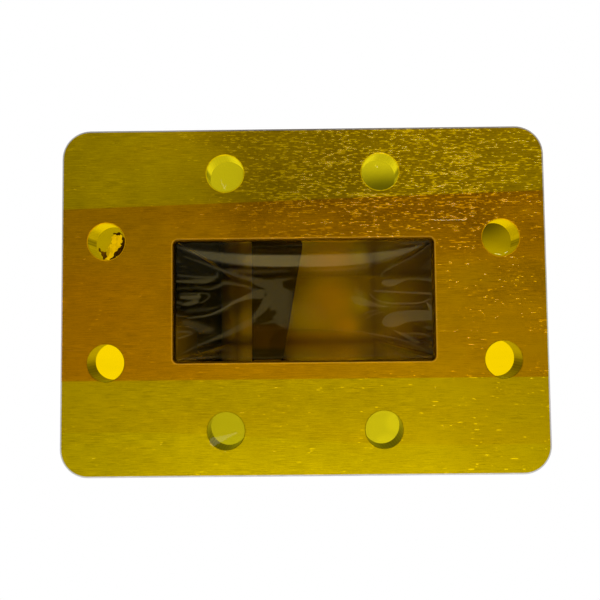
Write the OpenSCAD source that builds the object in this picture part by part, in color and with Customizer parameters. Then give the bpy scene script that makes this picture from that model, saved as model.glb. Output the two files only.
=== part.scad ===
// Waveguide load: a closed length of rectangular guide with an eight-hole flange, a black
// absorber inside, and two strips of thin protective film that cover the whole flange face
// and overlap over the guide's mouth.
// Millimetres. The load stands on its closed end, the flange faces up.

/* [Flange] */
// Flange length, along the broad wall of the guide
flange_w = 88.9; // [86:0.1:100]
// Flange width, along the narrow wall of the guide
flange_h = 63.5; // [60:0.1:76]
// Flange thickness
flange_t = 6.35; // [5:0.05:12]
// Corner radius of the flange
flange_corner_r = 5.2; // [2:0.1:8]
// Broken edge round the flange, front and back
flange_edge = 0.3; // [0.1:0.05:0.6]

/* [Bolt holes] */
// Hole diameter
hole_d = 6.8; // [5:0.05:8]
// Distance between the holes of the short ends, along the length
end_hole_x = 72.4; // [68:0.05:76]
// Distance between the holes of the short ends, along the width
end_hole_y = 22.2; // [18:0.05:26]
// Distance between the holes of the long edges, along the length
edge_hole_x = 28.6; // [20:0.05:36]
// Distance between the holes of the long edges, along the width
edge_hole_y = 47; // [43:0.05:50]
// Broken edge of each hole
hole_edge = 0.1; // [0.05:0.05:0.5]

/* [Guide] */
// Inside length of the guide's section, its broad wall
guide_a = 47.55; // [44:0.05:50]
// Inside width of the guide's section, its narrow wall
guide_b = 22.15; // [19:0.05:24]
// Corner radius inside the guide
guide_corner_r = 0.9; // [0.5:0.05:1.2]
// Broken edge of the guide's mouth in the flange face
mouth_edge = 0.2; // [0.1:0.05:0.4]
// Depth from the flange face to the closed end
guide_depth = 136; // [110:1:180]
// Wall thickness of the tube
tube_wall = 1.63; // [1.3:0.01:2.2]
// Corner radius outside the tube
tube_corner_r = 1.2; // [0.8:0.1:1.6]
// How far the tube goes into the back of the flange
socket_depth = 4; // [2:0.1:4.5]
// Gap round the tube in its socket
socket_gap = 0.05; // [0.03:0.01:0.1]

/* [Closed end] */
// Thickness of the end plate
cap_t = 3; // [2:0.1:6]
// How far the end plate stands proud of the tube all round
cap_lip = 1.5; // [1.2:0.1:3]
// Corner radius of the end plate
cap_corner_r = 2; // [1:0.1:2.5]
// Broken edge round the end plate
cap_edge = 0.3; // [0.1:0.05:0.6]
// Leg of the brazed fillets round the tube
braze_leg = 1.1; // [0.5:0.1:1.4]

/* [Absorber] */
// Depth of the absorber's nose below the flange face, at the lower broad wall
nose_depth_low = 2.2; // [2:0.1:8]
// Depth of the absorber's nose below the flange face, at the upper broad wall
nose_depth_high = 13.5; // [9:0.5:30]
// Left side of the absorber from the guide's middle, at the flange face
absorber_left_front = 9.5; // [8:0.1:12]
// Left side of the absorber from the guide's middle, at the closed end
absorber_left_back = 18.2; // [14:0.1:20]
// Right side of the nose from the guide's middle, at the lower broad wall
absorber_right_low = 4; // [3:0.1:6]
// Right side of the nose from the guide's middle, at the upper broad wall
absorber_right_high = 0.15; // [0:0.05:2]
// How far the right side draws back to the left over each millimetre of depth
absorber_draw = 0.03; // [0:0.005:0.06]
// Gap between the absorber and the upper broad wall
absorber_gap = 0.2; // [0.1:0.05:0.5]
// Thickness of the adhesive under the absorber
bond_t = 0.2; // [0.1:0.05:0.4]
// Margin of bare absorber round the adhesive
bond_margin = 0.4; // [0.2:0.1:1.5]

/* [Film] */
// Thickness of each strip of protective film
film_t = 0.1; // [0.08:0.01:0.2]
// Thickness of the adhesive between the two strips
film_gap = 0.02; // [0.01:0.01:0.05]
// Lower edge of the upper strip, below the guide's middle
upper_strip_end = 14.3; // [12.5:0.1:17]
// Upper edge of the lower strip, above the guide's middle
lower_strip_end = 18.4; // [15:0.1:19]
// Angle at which the lower strip's upper edge was laid
lower_strip_turn = 1.7; // [-2:0.1:2]
// Width over which the lower strip steps up onto the upper one
film_step_w = 0.3; // [0.2:0.05:1]
// Strip of bare metal left round the film
film_inset = 0.35; // [0.3:0.05:1]
// How far the film stays flat over the mouth's edge
film_ledge = 0.35; // [0.3:0.05:0.6]
// Slope with which the film first goes down from the upper long edge of the mouth
film_lean = 0.03; // [0:0.005:0.08]
// Slope of the steep band that sags between the two upper corners
band_slope = 0.2; // [0.05:0.01:0.3]
// Slope with which the film comes up again to the lower long edge
low_slope = 0.15; // [0.08:0.01:0.4]
// Width over which the film leaves its flat seam
film_shoulder = 0.45; // [0.3:0.05:2]
// Height of the folds at the short ends
fold_h = 0.1; // [0:0.02:0.3]

/* [Hidden] */
$fn = 96;
eps = 0.01;

face_z = cap_t + guide_depth;
flange_back_z = face_z - flange_t;
tube_w = guide_a + 2 * tube_wall;
tube_h = guide_b + 2 * tube_wall;
tube_top_z = flange_back_z + socket_depth;
cap_w = tube_w + 2 * cap_lip;
cap_h = tube_h + 2 * cap_lip;

// Window of the film inside the guide's mouth, the flat seam round it that joins it to the
// flat film, and the steps of its mesh
window_a = guide_a - 2 * film_ledge;
window_b = guide_b - 2 * film_ledge;
film_seam = 0.15;
film_cols = 48;
film_rows = 24;
film_lift = film_t + film_gap;

// Upper and lower edge of the steep band: height of the middle and of the ends as shares of
// half the width, and how sharply the edge climbs to the left and the right corner
band_top = [0.778, 0.955, 2.3, 3.0];
band_low = [0.567, 0.95, 3.4, 3.0];

// Folds at the short ends: side, place up the end as a share of half the width,
// reach along the length, half width, share of the fold height, drop over the reach
end_folds = [
    [-1, 0.42, 8.5, 0.9, 0.8, 0.12],
    [-1, 0.05, 7.5, 0.8, 1.0, 0.10],
    [-1, -0.22, 10.5, 0.7, 0.9, -0.35],
    [-1, -0.62, 7.0, 1.0, 0.5, -0.25],
    [1, 0.52, 8.0, 0.9, 0.7, 0.05],
    [1, 0.22, 11.0, 0.7, 1.0, 0.02],
    [1, -0.10, 11.5, 0.7, 0.9, 0.05],
    [1, -0.42, 9.5, 0.9, 0.7, -0.15]
];

// Rectangle with round corners, centred
module round_rect(w, h, r) {
    square([w - 2 * r, h], center = true);
    square([w, h - 2 * r], center = true);
    for (sx = [-1, 1], sy = [-1, 1])
        translate([sx * (w / 2 - r), sy * (h / 2 - r)])
            circle(r);
}

// Straight sides up to z = 0, then sides that lean in by 45 degrees up to z = lean
function leaning_sides(w, below, lean) =
    [[-w / 2, -below], [w / 2, -below], [w / 2, 0], [w / 2 - lean, lean], [lean - w / 2, lean], [-w / 2, 0]];

// A slab with round corners, w by h up to z = 0, whose sides lean in above that
module leaning_slab(w, h, r, below, lean) {
    rotate([90, 0, 0])
        translate([0, 0, -(h / 2 - r)])
            linear_extrude(h - 2 * r)
                polygon(leaning_sides(w, below, lean));
    rotate([90, 0, 90])
        translate([0, 0, -(w / 2 - r)])
            linear_extrude(w - 2 * r)
                polygon(leaning_sides(h, below, lean));
    for (sx = [-1, 1], sy = [-1, 1])
        translate([sx * (w / 2 - r), sy * (h / 2 - r), 0]) {
            translate([0, 0, -below])
                cylinder(h = below, r = r);
            cylinder(h = lean, r1 = r, r2 = r - lean);
        }
}

// Plate with round corners and its edges broken on both faces
module plate(w, h, t, r, edge) {
    intersection() {
        translate([0, 0, t - edge])
            leaning_slab(w, h, r, t, edge);
        translate([0, 0, edge])
            mirror([0, 0, 1])
                leaning_slab(w, h, r, t, edge);
    }
}

// Bolt hole through the flange with both its edges broken
module bolt_hole() {
    translate([0, 0, -1])
        cylinder(h = flange_t + 2, d = hole_d);
    for (z = [0, flange_t])
        translate([0, 0, z])
            mirror([0, 0, z > 0 ? 1 : 0])
                translate([0, 0, -eps])
                    cylinder(h = hole_edge + eps, d1 = hole_d + 2 * (hole_edge + eps), d2 = hole_d);
}

module bolt_holes() {
    for (sx = [-1, 1], sy = [-1, 1]) {
        translate([sx * end_hole_x / 2, sy * end_hole_y / 2, 0])
            bolt_hole();
        translate([sx * edge_hole_x / 2, sy * edge_hole_y / 2, 0])
            bolt_hole();
    }
}

module flange() {
    color([0.80, 0.79, 0.76])
        translate([0, 0, flange_back_z])
            difference() {
                plate(flange_w, flange_h, flange_t, flange_corner_r, flange_edge);
                translate([0, 0, -1])
                    linear_extrude(flange_t + 2)
                        round_rect(guide_a, guide_b, guide_corner_r);
                translate([0, 0, flange_t])
                    mirror([0, 0, 1])
                        leaning_slab(
                            guide_a + 2 * mouth_edge, guide_b + 2 * mouth_edge,
                            guide_corner_r + mouth_edge, 1, mouth_edge
                        );
                translate([0, 0, -1])
                    linear_extrude(socket_depth + 1)
                        round_rect(tube_w + 2 * socket_gap, tube_h + 2 * socket_gap, tube_corner_r);
                bolt_holes();
            }
}

module waveguide_tube() {
    color([0.76, 0.76, 0.75])
        translate([0, 0, cap_t])
            linear_extrude(tube_top_z - cap_t)
                difference() {
                    round_rect(tube_w, tube_h, tube_corner_r);
                    round_rect(guide_a, guide_b, guide_corner_r);
                }
}

module end_cap() {
    color([0.78, 0.77, 0.75])
        plate(cap_w, cap_h, cap_t, cap_corner_r, cap_edge);
}

// Section through a brazed fillet on both sides of a tube that is w wide
module fillet_section(w) {
    difference() {
        translate([-w / 2 - braze_leg, 0])
            square([w + 2 * braze_leg, braze_leg]);
        for (s = [-1, 1])
            translate([s * (w / 2 + braze_leg), braze_leg])
                circle(braze_leg);
    }
}

// Concave fillet of braze all round the tube, standing on z = 0
module braze_ring() {
    long_x = tube_w + 2 * braze_leg;
    long_y = tube_h + 2 * braze_leg;
    difference() {
        intersection() {
            rotate([90, 0, 0])
                translate([0, 0, -long_y / 2])
                    linear_extrude(long_y)
                        fillet_section(tube_w);
            rotate([90, 0, 90])
                translate([0, 0, -long_x / 2])
                    linear_extrude(long_x)
                        fillet_section(tube_h);
        }
        translate([0, 0, -1])
            linear_extrude(braze_leg + 2)
                round_rect(tube_w, tube_h, tube_corner_r);
    }
}

module front_braze() {
    color([0.70, 0.69, 0.66])
        translate([0, 0, flange_back_z])
            mirror([0, 0, 1])
                braze_ring();
}

module rear_braze() {
    color([0.70, 0.69, 0.66])
        translate([0, 0, cap_t])
            braze_ring();
}

// The side faces of the absorber. Depth is counted down from the flange face.
absorber_low_y = -guide_b / 2 + bond_t;
absorber_high_y = guide_b / 2 - absorber_gap;
nose_slope = (nose_depth_high - nose_depth_low) / guide_b;
left_slope = (absorber_left_back - absorber_left_front) / guide_depth;
right_lean = (absorber_right_low - absorber_right_high
    + absorber_draw * (nose_depth_high - nose_depth_low)) / guide_b;
right_normal = [1, -right_lean, -absorber_draw];

// What lies to the right of the absorber's right side, which leans and draws back
module right_of_absorber() {
    reach = 2 * guide_depth;
    translate([-absorber_right_low, -guide_b / 2, face_z - nose_depth_low])
        rotate([0, -asin(right_normal[2] / norm(right_normal)), atan2(right_normal[1], right_normal[0])])
            translate([0, -reach / 2, -reach])
                cube([reach, reach, 2 * reach]);
}

// Absorber between two heights across the guide, drawn in by margin at its long sides
module absorber_slice(y_low, y_high, margin) {
    difference() {
        // plan, with the left side flaring out towards the closed end
        translate([0, y_high, 0])
            rotate([90, 0, 0])
                linear_extrude(y_high - y_low)
                    polygon([
                        [-absorber_left_back + margin, cap_t],
                        [guide_a / 2, cap_t],
                        [guide_a / 2, face_z],
                        [-absorber_left_front + margin, face_z]
                    ]);
        // sloping nose, nearer the flange at the lower broad wall
        rotate([90, 0, 90])
            translate([0, 0, -guide_a])
                linear_extrude(2 * guide_a)
                    polygon([
                        [-guide_b / 2 - 1, face_z + 1],
                        [-guide_b / 2 - 1, face_z - nose_depth_low + nose_slope - margin],
                        [guide_b / 2 + 1, face_z - nose_depth_high - nose_slope - margin],
                        [guide_b / 2 + 1, face_z + 1]
                    ]);
        translate([-margin, 0, 0])
            right_of_absorber();
    }
}

module absorber() {
    color([0.09, 0.09, 0.08])
        absorber_slice(absorber_low_y, absorber_high_y, 0);
}

module absorber_bond() {
    color([0.55, 0.53, 0.45])
        absorber_slice(-guide_b / 2, absorber_low_y, bond_margin);
}

// Share of the way from 0 to 1, smooth at both ends
function smooth(t) = let(s = min(max(t, 0), 1)) s * s * (3 - 2 * s);
function bell(d, w) = exp(-pow(d / w, 2));

// The lower of two values, rounded over r
function soft_min(a, b, r) =
    let(share = min(max(0.5 + (b - a) / (2 * r), 0), 1))
    b + (a - b) * share - r * share * (1 - share);

// Height of an edge of the steep band, where u is the place along it from -1 to 1
function band_y(u, edge) =
    window_b / 2 * (edge[0] + (edge[1] - edge[0]) * pow(abs(u), u < 0 ? edge[2] : edge[3]));

// Height added by one fold at a short end
function fold(x, y, f) =
    let(
        from_end = window_a / 2 - f[0] * x,
        along = from_end / f[2],
        centre_y = window_b / 2 * (f[1] - f[5] * along)
    )
    along > 1 ? 0 : fold_h * f[4] * (1 - smooth(along)) * bell(y - centre_y, f[3]);

// How far the lower face of the film lies below its flat part
function film_drop(x, y) =
    let(
        edge = min(window_a / 2 - abs(x), window_b / 2 - abs(y)) - film_seam,
        u = x / (window_a / 2),
        top = band_y(u, band_top),
        low = band_y(u, band_low),
        from_top = film_lean * (window_b / 2 - y) + band_slope * max(top - y, 0),
        flat_part = film_lean * (window_b / 2 - low) + band_slope * (top - low),
        from_low = low_slope * (y + window_b / 2),
        sheet = soft_min(soft_min(from_top, flat_part, 0.03), from_low, 0.06),
        folds = [for (f = end_folds) fold(x, y, f)]
    )
    smooth(edge / film_shoulder) * (sheet - folds * [for (f = end_folds) 1]);

// Place of grid line i of n over a width: the first and the last cell are the flat seam
function grid_place(i, n, width) =
    i == 0 ? -width / 2
        : i == n ? width / 2
        : (width - 2 * film_seam) * ((i - 1) / (n - 2) - 0.5);

function film_point(i, j, lift) =
    let(x = grid_place(i, film_cols, window_a), y = grid_place(j, film_rows, window_b))
    [x, y, lift - film_drop(x, y)];

// Number of the point in column i and row j
function at(i, j) = j * (film_cols + 1) + i;

// The film inside the mouth: the same creased sheet above and below, film_t apart
module film_window() {
    top = [for (j = [0:film_rows], i = [0:film_cols]) film_point(i, j, film_t)];
    bottom = [for (j = [0:film_rows], i = [0:film_cols]) film_point(i, j, 0)];
    n = len(top);
    polyhedron(
        points = concat(top, bottom),
        faces = concat(
            [for (j = [0:film_rows - 1], i = [0:film_cols - 1], half = [0, 1])
                half == 0 ? [at(i, j), at(i, j + 1), at(i + 1, j)]
                    : [at(i + 1, j), at(i, j + 1), at(i + 1, j + 1)]],
            [for (j = [0:film_rows - 1], i = [0:film_cols - 1], half = [0, 1])
                half == 0 ? [n + at(i, j), n + at(i + 1, j), n + at(i, j + 1)]
                    : [n + at(i + 1, j), n + at(i + 1, j + 1), n + at(i, j + 1)]],
            [for (i = [0:film_cols - 1])
                [at(i, 0), at(i + 1, 0), n + at(i + 1, 0), n + at(i, 0)]],
            [for (i = [0:film_cols - 1])
                [at(i + 1, film_rows), at(i, film_rows), n + at(i, film_rows), n + at(i + 1, film_rows)]],
            [for (j = [0:film_rows - 1])
                [at(0, j + 1), at(0, j), n + at(0, j), n + at(0, j + 1)]],
            [for (j = [0:film_rows - 1])
                [at(film_cols, j), at(film_cols, j + 1), n + at(film_cols, j + 1), n + at(film_cols, j)]]
        )
    );
}

// Outline that both strips were trimmed to, with the window left out
module film_outline() {
    difference() {
        round_rect(
            flange_w - 2 * film_inset, flange_h - 2 * film_inset,
            flange_corner_r - film_inset
        );
        square([window_a - 2 * film_seam, window_b - 2 * film_seam], center = true);
    }
}

// Laid first, flat on the metal
module film_upper() {
    color([0.90, 0.76, 0.10, 0.45])
        translate([0, 0, face_z]) {
            linear_extrude(film_t)
                intersection() {
                    film_outline();
                    translate([-flange_w, -upper_strip_end])
                        square([2 * flange_w, flange_h]);
                }
            film_window();
        }
}

// Laid second: flat on the metal below, then up a small step onto the upper strip
module film_lower() {
    step_y = -upper_strip_end;
    color([0.92, 0.74, 0.08, 0.45])
        translate([0, 0, face_z]) {
            intersection() {
                linear_extrude(film_lift + film_t)
                    intersection() {
                        film_outline();
                        translate([0, lower_strip_end])
                            rotate(lower_strip_turn)
                                translate([-flange_w, -flange_h])
                                    square([2 * flange_w, flange_h]);
                    }
                rotate([90, 0, 90])
                    translate([0, 0, -flange_w])
                        linear_extrude(2 * flange_w)
                            polygon([
                                [-flange_h, 0], [step_y - film_gap - film_step_w, 0],
                                [step_y - film_gap, film_lift], [flange_h, film_lift],
                                [flange_h, film_lift + film_t],
                                [step_y - film_gap - film_t / 2, film_lift + film_t],
                                [step_y - film_gap - film_t / 2 - film_step_w, film_t],
                                [-flange_h, film_t]
                            ]);
            }
            translate([0, 0, film_lift])
                film_window();
        }
}

flange();
waveguide_tube();
end_cap();
front_braze();
rear_braze();
absorber();
absorber_bond();
film_upper();
film_lower();
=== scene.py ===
"""Looks of the waveguide load: metal finishes, the black absorber, the two strips of amber film
with their creased window, the torn scrap in one bolt hole, and the stage."""

import math
import bpy
import numpy as np
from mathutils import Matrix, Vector


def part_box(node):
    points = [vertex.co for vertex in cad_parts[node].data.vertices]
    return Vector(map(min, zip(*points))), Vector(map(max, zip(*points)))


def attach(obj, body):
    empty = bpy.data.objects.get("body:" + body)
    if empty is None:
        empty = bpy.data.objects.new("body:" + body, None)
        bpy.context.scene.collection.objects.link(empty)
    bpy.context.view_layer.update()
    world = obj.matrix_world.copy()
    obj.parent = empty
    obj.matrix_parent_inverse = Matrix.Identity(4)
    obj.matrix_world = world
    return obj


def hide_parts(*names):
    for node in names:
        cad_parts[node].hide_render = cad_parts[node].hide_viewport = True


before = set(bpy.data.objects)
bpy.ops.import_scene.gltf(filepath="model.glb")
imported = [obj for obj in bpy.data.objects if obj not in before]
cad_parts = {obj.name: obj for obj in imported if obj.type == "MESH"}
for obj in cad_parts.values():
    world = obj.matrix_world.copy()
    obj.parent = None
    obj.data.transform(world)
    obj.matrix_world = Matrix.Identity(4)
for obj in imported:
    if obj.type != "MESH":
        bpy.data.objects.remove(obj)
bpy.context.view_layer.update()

bl_info = {
    "name": "Waveguide load looks",
    "version": (1, 0, 0),
    "blender": (4, 5, 0),
    "location": "View3D > Sidebar > Waveguide load",
    "description": "Finishes a packed waveguide load: metal, absorber, amber film and stage",
    "category": "Object",
}

MM = 0.001
FACE_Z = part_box("flange")[1].z
FLANGE_HALF = Vector((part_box("flange")[1].x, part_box("flange")[1].y))
MOUTH_HALF = Vector((23.775, 11.075)) * MM

# Places of the bolt holes of the short ends and of the long edges from the middle, and their
# radius, in millimetres
END_HOLE, EDGE_HOLE, HOLE_RADIUS = (36.2, 11.1), (14.3, 23.5), 3.4


# Settings


class MetalSettings(bpy.types.PropertyGroup):
    """Colours and roughness of the metal pieces"""

    plate_colour: bpy.props.FloatVectorProperty(
        name="Plate", description="Colour of the flange's rolled aluminium",
        subtype="COLOR", size=4, min=0, max=1, default=(0.55, 0.54, 0.52, 1))
    tube_colour: bpy.props.FloatVectorProperty(
        name="Tube", description="Colour of the drawn tube",
        subtype="COLOR", size=4, min=0, max=1, default=(0.62, 0.62, 0.60, 1))
    bore_colour: bpy.props.FloatVectorProperty(
        name="Bore", description="Colour of the tube's polished inner walls",
        subtype="COLOR", size=4, min=0, max=1, default=(0.985, 0.985, 0.98, 1))
    cap_colour: bpy.props.FloatVectorProperty(
        name="End plate", description="Colour of the milled end plate",
        subtype="COLOR", size=4, min=0, max=1, default=(0.64, 0.63, 0.61, 1))
    inner_colour: bpy.props.FloatVectorProperty(
        name="Closed end", description="Colour of the end plate inside the guide",
        subtype="COLOR", size=4, min=0, max=1, default=(0.40, 0.40, 0.37, 1))
    braze_colour: bpy.props.FloatVectorProperty(
        name="Braze", description="Colour of the brazed fillets",
        subtype="COLOR", size=4, min=0, max=1, default=(0.52, 0.51, 0.48, 1))
    plate_roughness: bpy.props.FloatProperty(
        name="Plate roughness", description="Roughness of the rolled plate between its scratches",
        subtype="FACTOR", min=0.05, max=1, default=0.36)


class AbsorberSettings(bpy.types.PropertyGroup):
    """Colours of the absorber and its adhesive"""

    black: bpy.props.FloatVectorProperty(
        name="Absorber", description="Colour of the iron-filled casting",
        subtype="COLOR", size=4, min=0, max=1, default=(0.007, 0.007, 0.006, 1))
    resin: bpy.props.FloatVectorProperty(
        name="Adhesive", description="Colour of the cured resin under the absorber",
        subtype="COLOR", size=4, min=0, max=1, default=(0.42, 0.38, 0.28, 1))


class FilmSettings(bpy.types.PropertyGroup):
    """Sizes and colours of the two strips of film"""

    tint: bpy.props.FloatVectorProperty(
        name="Tint", description="Share of light that one strip lets through",
        subtype="COLOR", size=4, min=0, max=1, default=(0.98, 0.81, 0.008, 1))
    thickness: bpy.props.FloatProperty(
        name="Thickness", description="Thickness of one strip",
        unit="LENGTH", min=0.05 * MM, max=0.2 * MM, default=0.09 * MM)
    clearance: bpy.props.FloatProperty(
        name="Clearance", description="Gap kept under each strip",
        unit="LENGTH", min=0.002 * MM, max=0.02 * MM, default=0.008 * MM)
    inset: bpy.props.FloatProperty(
        name="Inset", description="Bare metal round the film",
        unit="LENGTH", min=0.2 * MM, max=1 * MM, default=0.35 * MM)
    corner_radius: bpy.props.FloatProperty(
        name="Corner", description="Corner radius of the trimmed film",
        unit="LENGTH", min=3 * MM, max=7 * MM, default=4.85 * MM)
    ledge: bpy.props.FloatProperty(
        name="Ledge", description="How far the film stays flat over the mouth's edge",
        unit="LENGTH", min=0.2 * MM, max=0.8 * MM, default=0.35 * MM)
    upper_end: bpy.props.FloatProperty(
        name="Upper strip ends", description="Lower edge of the upper strip",
        unit="LENGTH", min=-20 * MM, max=-12 * MM, default=-14.3 * MM)
    lower_end: bpy.props.FloatProperty(
        name="Lower strip ends", description="Upper edge of the lower strip at the middle",
        unit="LENGTH", min=12 * MM, max=22 * MM, default=18.4 * MM)
    lower_turn: bpy.props.FloatProperty(
        name="Lower strip turned", description="Angle at which the lower strip's edge was laid",
        subtype="ANGLE", min=-0.1, max=0.1, default=math.radians(1.7))
    step: bpy.props.FloatProperty(
        name="Step", description="Width over which the lower strip climbs onto the upper one",
        unit="LENGTH", min=0.1 * MM, max=1 * MM, default=0.3 * MM)
    columns: bpy.props.IntProperty(
        name="Columns", description="Cells along the folded window", min=60, max=300, default=260)
    rows: bpy.props.IntProperty(
        name="Rows", description="Cells across the folded window", min=30, max=150, default=120)


class StageSettings(bpy.types.PropertyGroup):
    """Camera, lamps and floor"""

    camera_place: bpy.props.FloatVectorProperty(
        name="Camera", description="Place of the camera from the middle of the flange face",
        subtype="TRANSLATION", unit="LENGTH", default=(0.504 * MM, -3.979 * MM, 147.197 * MM))
    camera_turn: bpy.props.FloatVectorProperty(
        name="Camera turn", description="Turn of the camera",
        subtype="EULER", default=tuple(math.radians(a) for a in (3.84, 0.48, -0.59)))
    camera_lens: bpy.props.FloatProperty(
        name="Lens", description="Focal length in millimetres", default=48.37)
    camera_shift: bpy.props.FloatProperty(
        name="Shift", description="Upward shift of the frame", default=-0.0537)
    near_box: bpy.props.FloatProperty(
        name="Near box", description="Brightness of the softbox below the frame, 1 is white", default=6.2)
    far_box: bpy.props.FloatProperty(
        name="Far box", description="Brightness of the softbox above the frame", default=3.9)
    sheen_card: bpy.props.FloatProperty(
        name="Sheen card", description="Brightness of the card that the film mirrors", default=0.45)
    surround: bpy.props.FloatProperty(
        name="Surround", description="Brightness of the studio round the flange", default=0.8)
    ceiling: bpy.props.FloatProperty(
        name="Ceiling", description="Brightness straight above the flange", default=0.3)


# Small helpers


def deselect_all():
    """Leaves nothing selected and nothing active in the way."""
    if bpy.context.object and bpy.context.object.mode != "OBJECT":
        bpy.ops.object.mode_set(mode="OBJECT")
    bpy.ops.object.select_all(action="DESELECT")


def activate(piece):
    """Selects one piece alone and makes it the active one."""
    deselect_all()
    piece.select_set(True)
    bpy.context.view_layer.objects.active = piece


def clear_selection(mesh):
    """In object mode, leaves no vertex, edge or face of the mesh selected."""
    for part in (mesh.vertices, mesh.edges, mesh.polygons):
        part.foreach_set("select", np.zeros(len(part), bool))


def select_edges(piece, wanted):
    """In edit mode, selects the edges whose two ends both pass the test."""
    bpy.ops.object.mode_set(mode="OBJECT")
    mesh = piece.data
    clear_selection(mesh)
    for edge in mesh.edges:
        ends = [mesh.vertices[i].co for i in edge.vertices]
        if wanted(*ends):
            edge.select = True
    bpy.ops.object.mode_set(mode="EDIT")


def apply_place(piece):
    """Puts the piece's place, turn and scale into its mesh."""
    activate(piece)
    bpy.ops.object.transform_apply(location=True, rotation=True, scale=True)


def smooth_share(t):
    """Share of the way from 0 to 1, smooth at both ends."""
    t = np.clip(t, 0, 1)
    return t * t * (3 - 2 * t)


class Tree:
    """Short calls that build one node tree."""

    def __init__(self, owner):
        owner.use_nodes = True
        self.tree = owner.node_tree
        self.tree.nodes.clear()

    def add(self, kind, inputs=None, **settings):
        """A new node. Inputs are values or sockets to link."""
        node = self.tree.nodes.new("ShaderNode" + kind)
        for name, value in settings.items():
            setattr(node, name, value)
        for name, value in (inputs or {}).items():
            if isinstance(value, bpy.types.NodeSocket):
                self.tree.links.new(value, node.inputs[name])
            else:
                node.inputs[name].default_value = value
        return node

    def maths(self, operation, first, second=0.0, third=0.0, clamp=False):
        """The result of one operation on up to three numbers."""
        inputs = {0: first, 1: second, 2: third}
        return self.add("Math", inputs, operation=operation, use_clamp=clamp).outputs[0]

    def ramp(self, value, low, high, to_low=0.0, to_high=1.0, kind="SMOOTHSTEP"):
        """The value taken from low..high to to_low..to_high, and held there beyond."""
        inputs = {"Value": value, "From Min": low, "From Max": high, "To Min": to_low, "To Max": to_high}
        return self.add("MapRange", inputs, interpolation_type=kind, clamp=True).outputs[0]

    def place_mm(self):
        """The place on the piece in millimetres."""
        place = self.add("TexCoord").outputs["Object"]
        return self.add("Mapping", {"Vector": place, "Scale": (1000, 1000, 1000)}).outputs[0]

    def apart(self, vector):
        """The three parts of a vector."""
        return self.add("SeparateXYZ", {0: vector}).outputs

    def length(self, x, y, z=0.0):
        """The length of a vector given by its parts."""
        vector = self.add("CombineXYZ", {0: x, 1: y, 2: z}).outputs[0]
        return self.add("VectorMath", {0: vector}, operation="LENGTH").outputs["Value"]

    def noise(self, vector, scale, detail=2.0, rough=0.5, seed=0.0):
        """Noise with features about 1 / scale long each way, around 0.5."""
        moved = self.add("Mapping", {"Vector": vector, "Scale": scale, "Location": (seed, seed * 0.7, 0)})
        inputs = {"Vector": moved.outputs[0], "Scale": 1.0, "Detail": detail, "Roughness": rough}
        return self.add("TexNoise", inputs, noise_dimensions="3D").outputs["Fac"]

    def mix(self, share, first, second, blend="MIX"):
        """Colour between the first and the second."""
        node = self.add("Mix", data_type="RGBA", blend_type=blend)
        for socket, value in ((0, share), (6, first), (7, second)):
            if isinstance(value, bpy.types.NodeSocket):
                self.tree.links.new(value, node.inputs[socket])
            else:
                node.inputs[socket].default_value = value
        return node.outputs[2]

    def grey(self, value):
        """The grey colour with this value."""
        return self.add("CombineColor", {0: value, 1: value, 2: value}).outputs[0]

    def bump(self, height, distance, strength=1.0):
        """The normal bent by a height. The distance is in metres."""
        inputs = {"Height": height, "Distance": distance, "Strength": strength}
        return self.add("Bump", inputs).outputs[0]

    def lean(self, normal, share, way):
        """The normal turned towards a direction by a share."""
        push = self.add("VectorMath", {0: way, "Scale": share}, operation="SCALE").outputs[0]
        summed = self.add("VectorMath", {0: normal, 1: push}, operation="ADD").outputs[0]
        return self.add("VectorMath", {0: summed}, operation="NORMALIZE").outputs[0]

    def finish(self, surface):
        """Links the shader to a new material output."""
        output = self.add("OutputMaterial")
        self.tree.links.new(surface, output.inputs["Surface"])


def new_finish(name):
    """An empty material and the tree that builds it."""
    material = bpy.data.materials.new(name)
    return material, Tree(material)


def give_finish(piece, material):
    """Makes the material the only one of the piece."""
    piece.data.materials.clear()
    piece.data.materials.append(material)


# Finishes


def from_mouth(t, x, y):
    """Distance in millimetres from the outer edge of the mouth's bevel, less than 0 inside."""
    out_x = t.maths("MAXIMUM", t.maths("SUBTRACT", t.maths("ABSOLUTE", x), 23.0), 0.0)
    out_y = t.maths("MAXIMUM", t.maths("SUBTRACT", t.maths("ABSOLUTE", y), 10.3), 0.0)
    return t.maths("SUBTRACT", t.length(out_x, out_y), 1.0)


def from_holes(t, x, y):
    """Distance in millimetres from the edge of the nearest bolt hole, less than 0 inside."""
    far_x, far_y = t.maths("ABSOLUTE", x), t.maths("ABSOLUTE", y)
    from_end, from_edge = (
        t.maths("SUBTRACT", t.length(t.maths("SUBTRACT", far_x, hole[0]),
                                     t.maths("SUBTRACT", far_y, hole[1])), HOLE_RADIUS)
        for hole in (END_HOLE, EDGE_HOLE))
    return t.maths("MINIMUM", from_end, from_edge)


def from_patch(t, x, y, place, reach, cloud, wobble):
    """Distance from the middle of a soft oval patch, 1 at its border, made uneven by a noise."""
    return t.length(t.maths("DIVIDE", t.maths("SUBTRACT", x, place[0]), reach[0]),
                    t.maths("DIVIDE", t.maths("SUBTRACT", y, place[1]), reach[1]),
                    t.maths("MULTIPLY", t.maths("SUBTRACT", cloud, 0.5), wobble))


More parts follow.
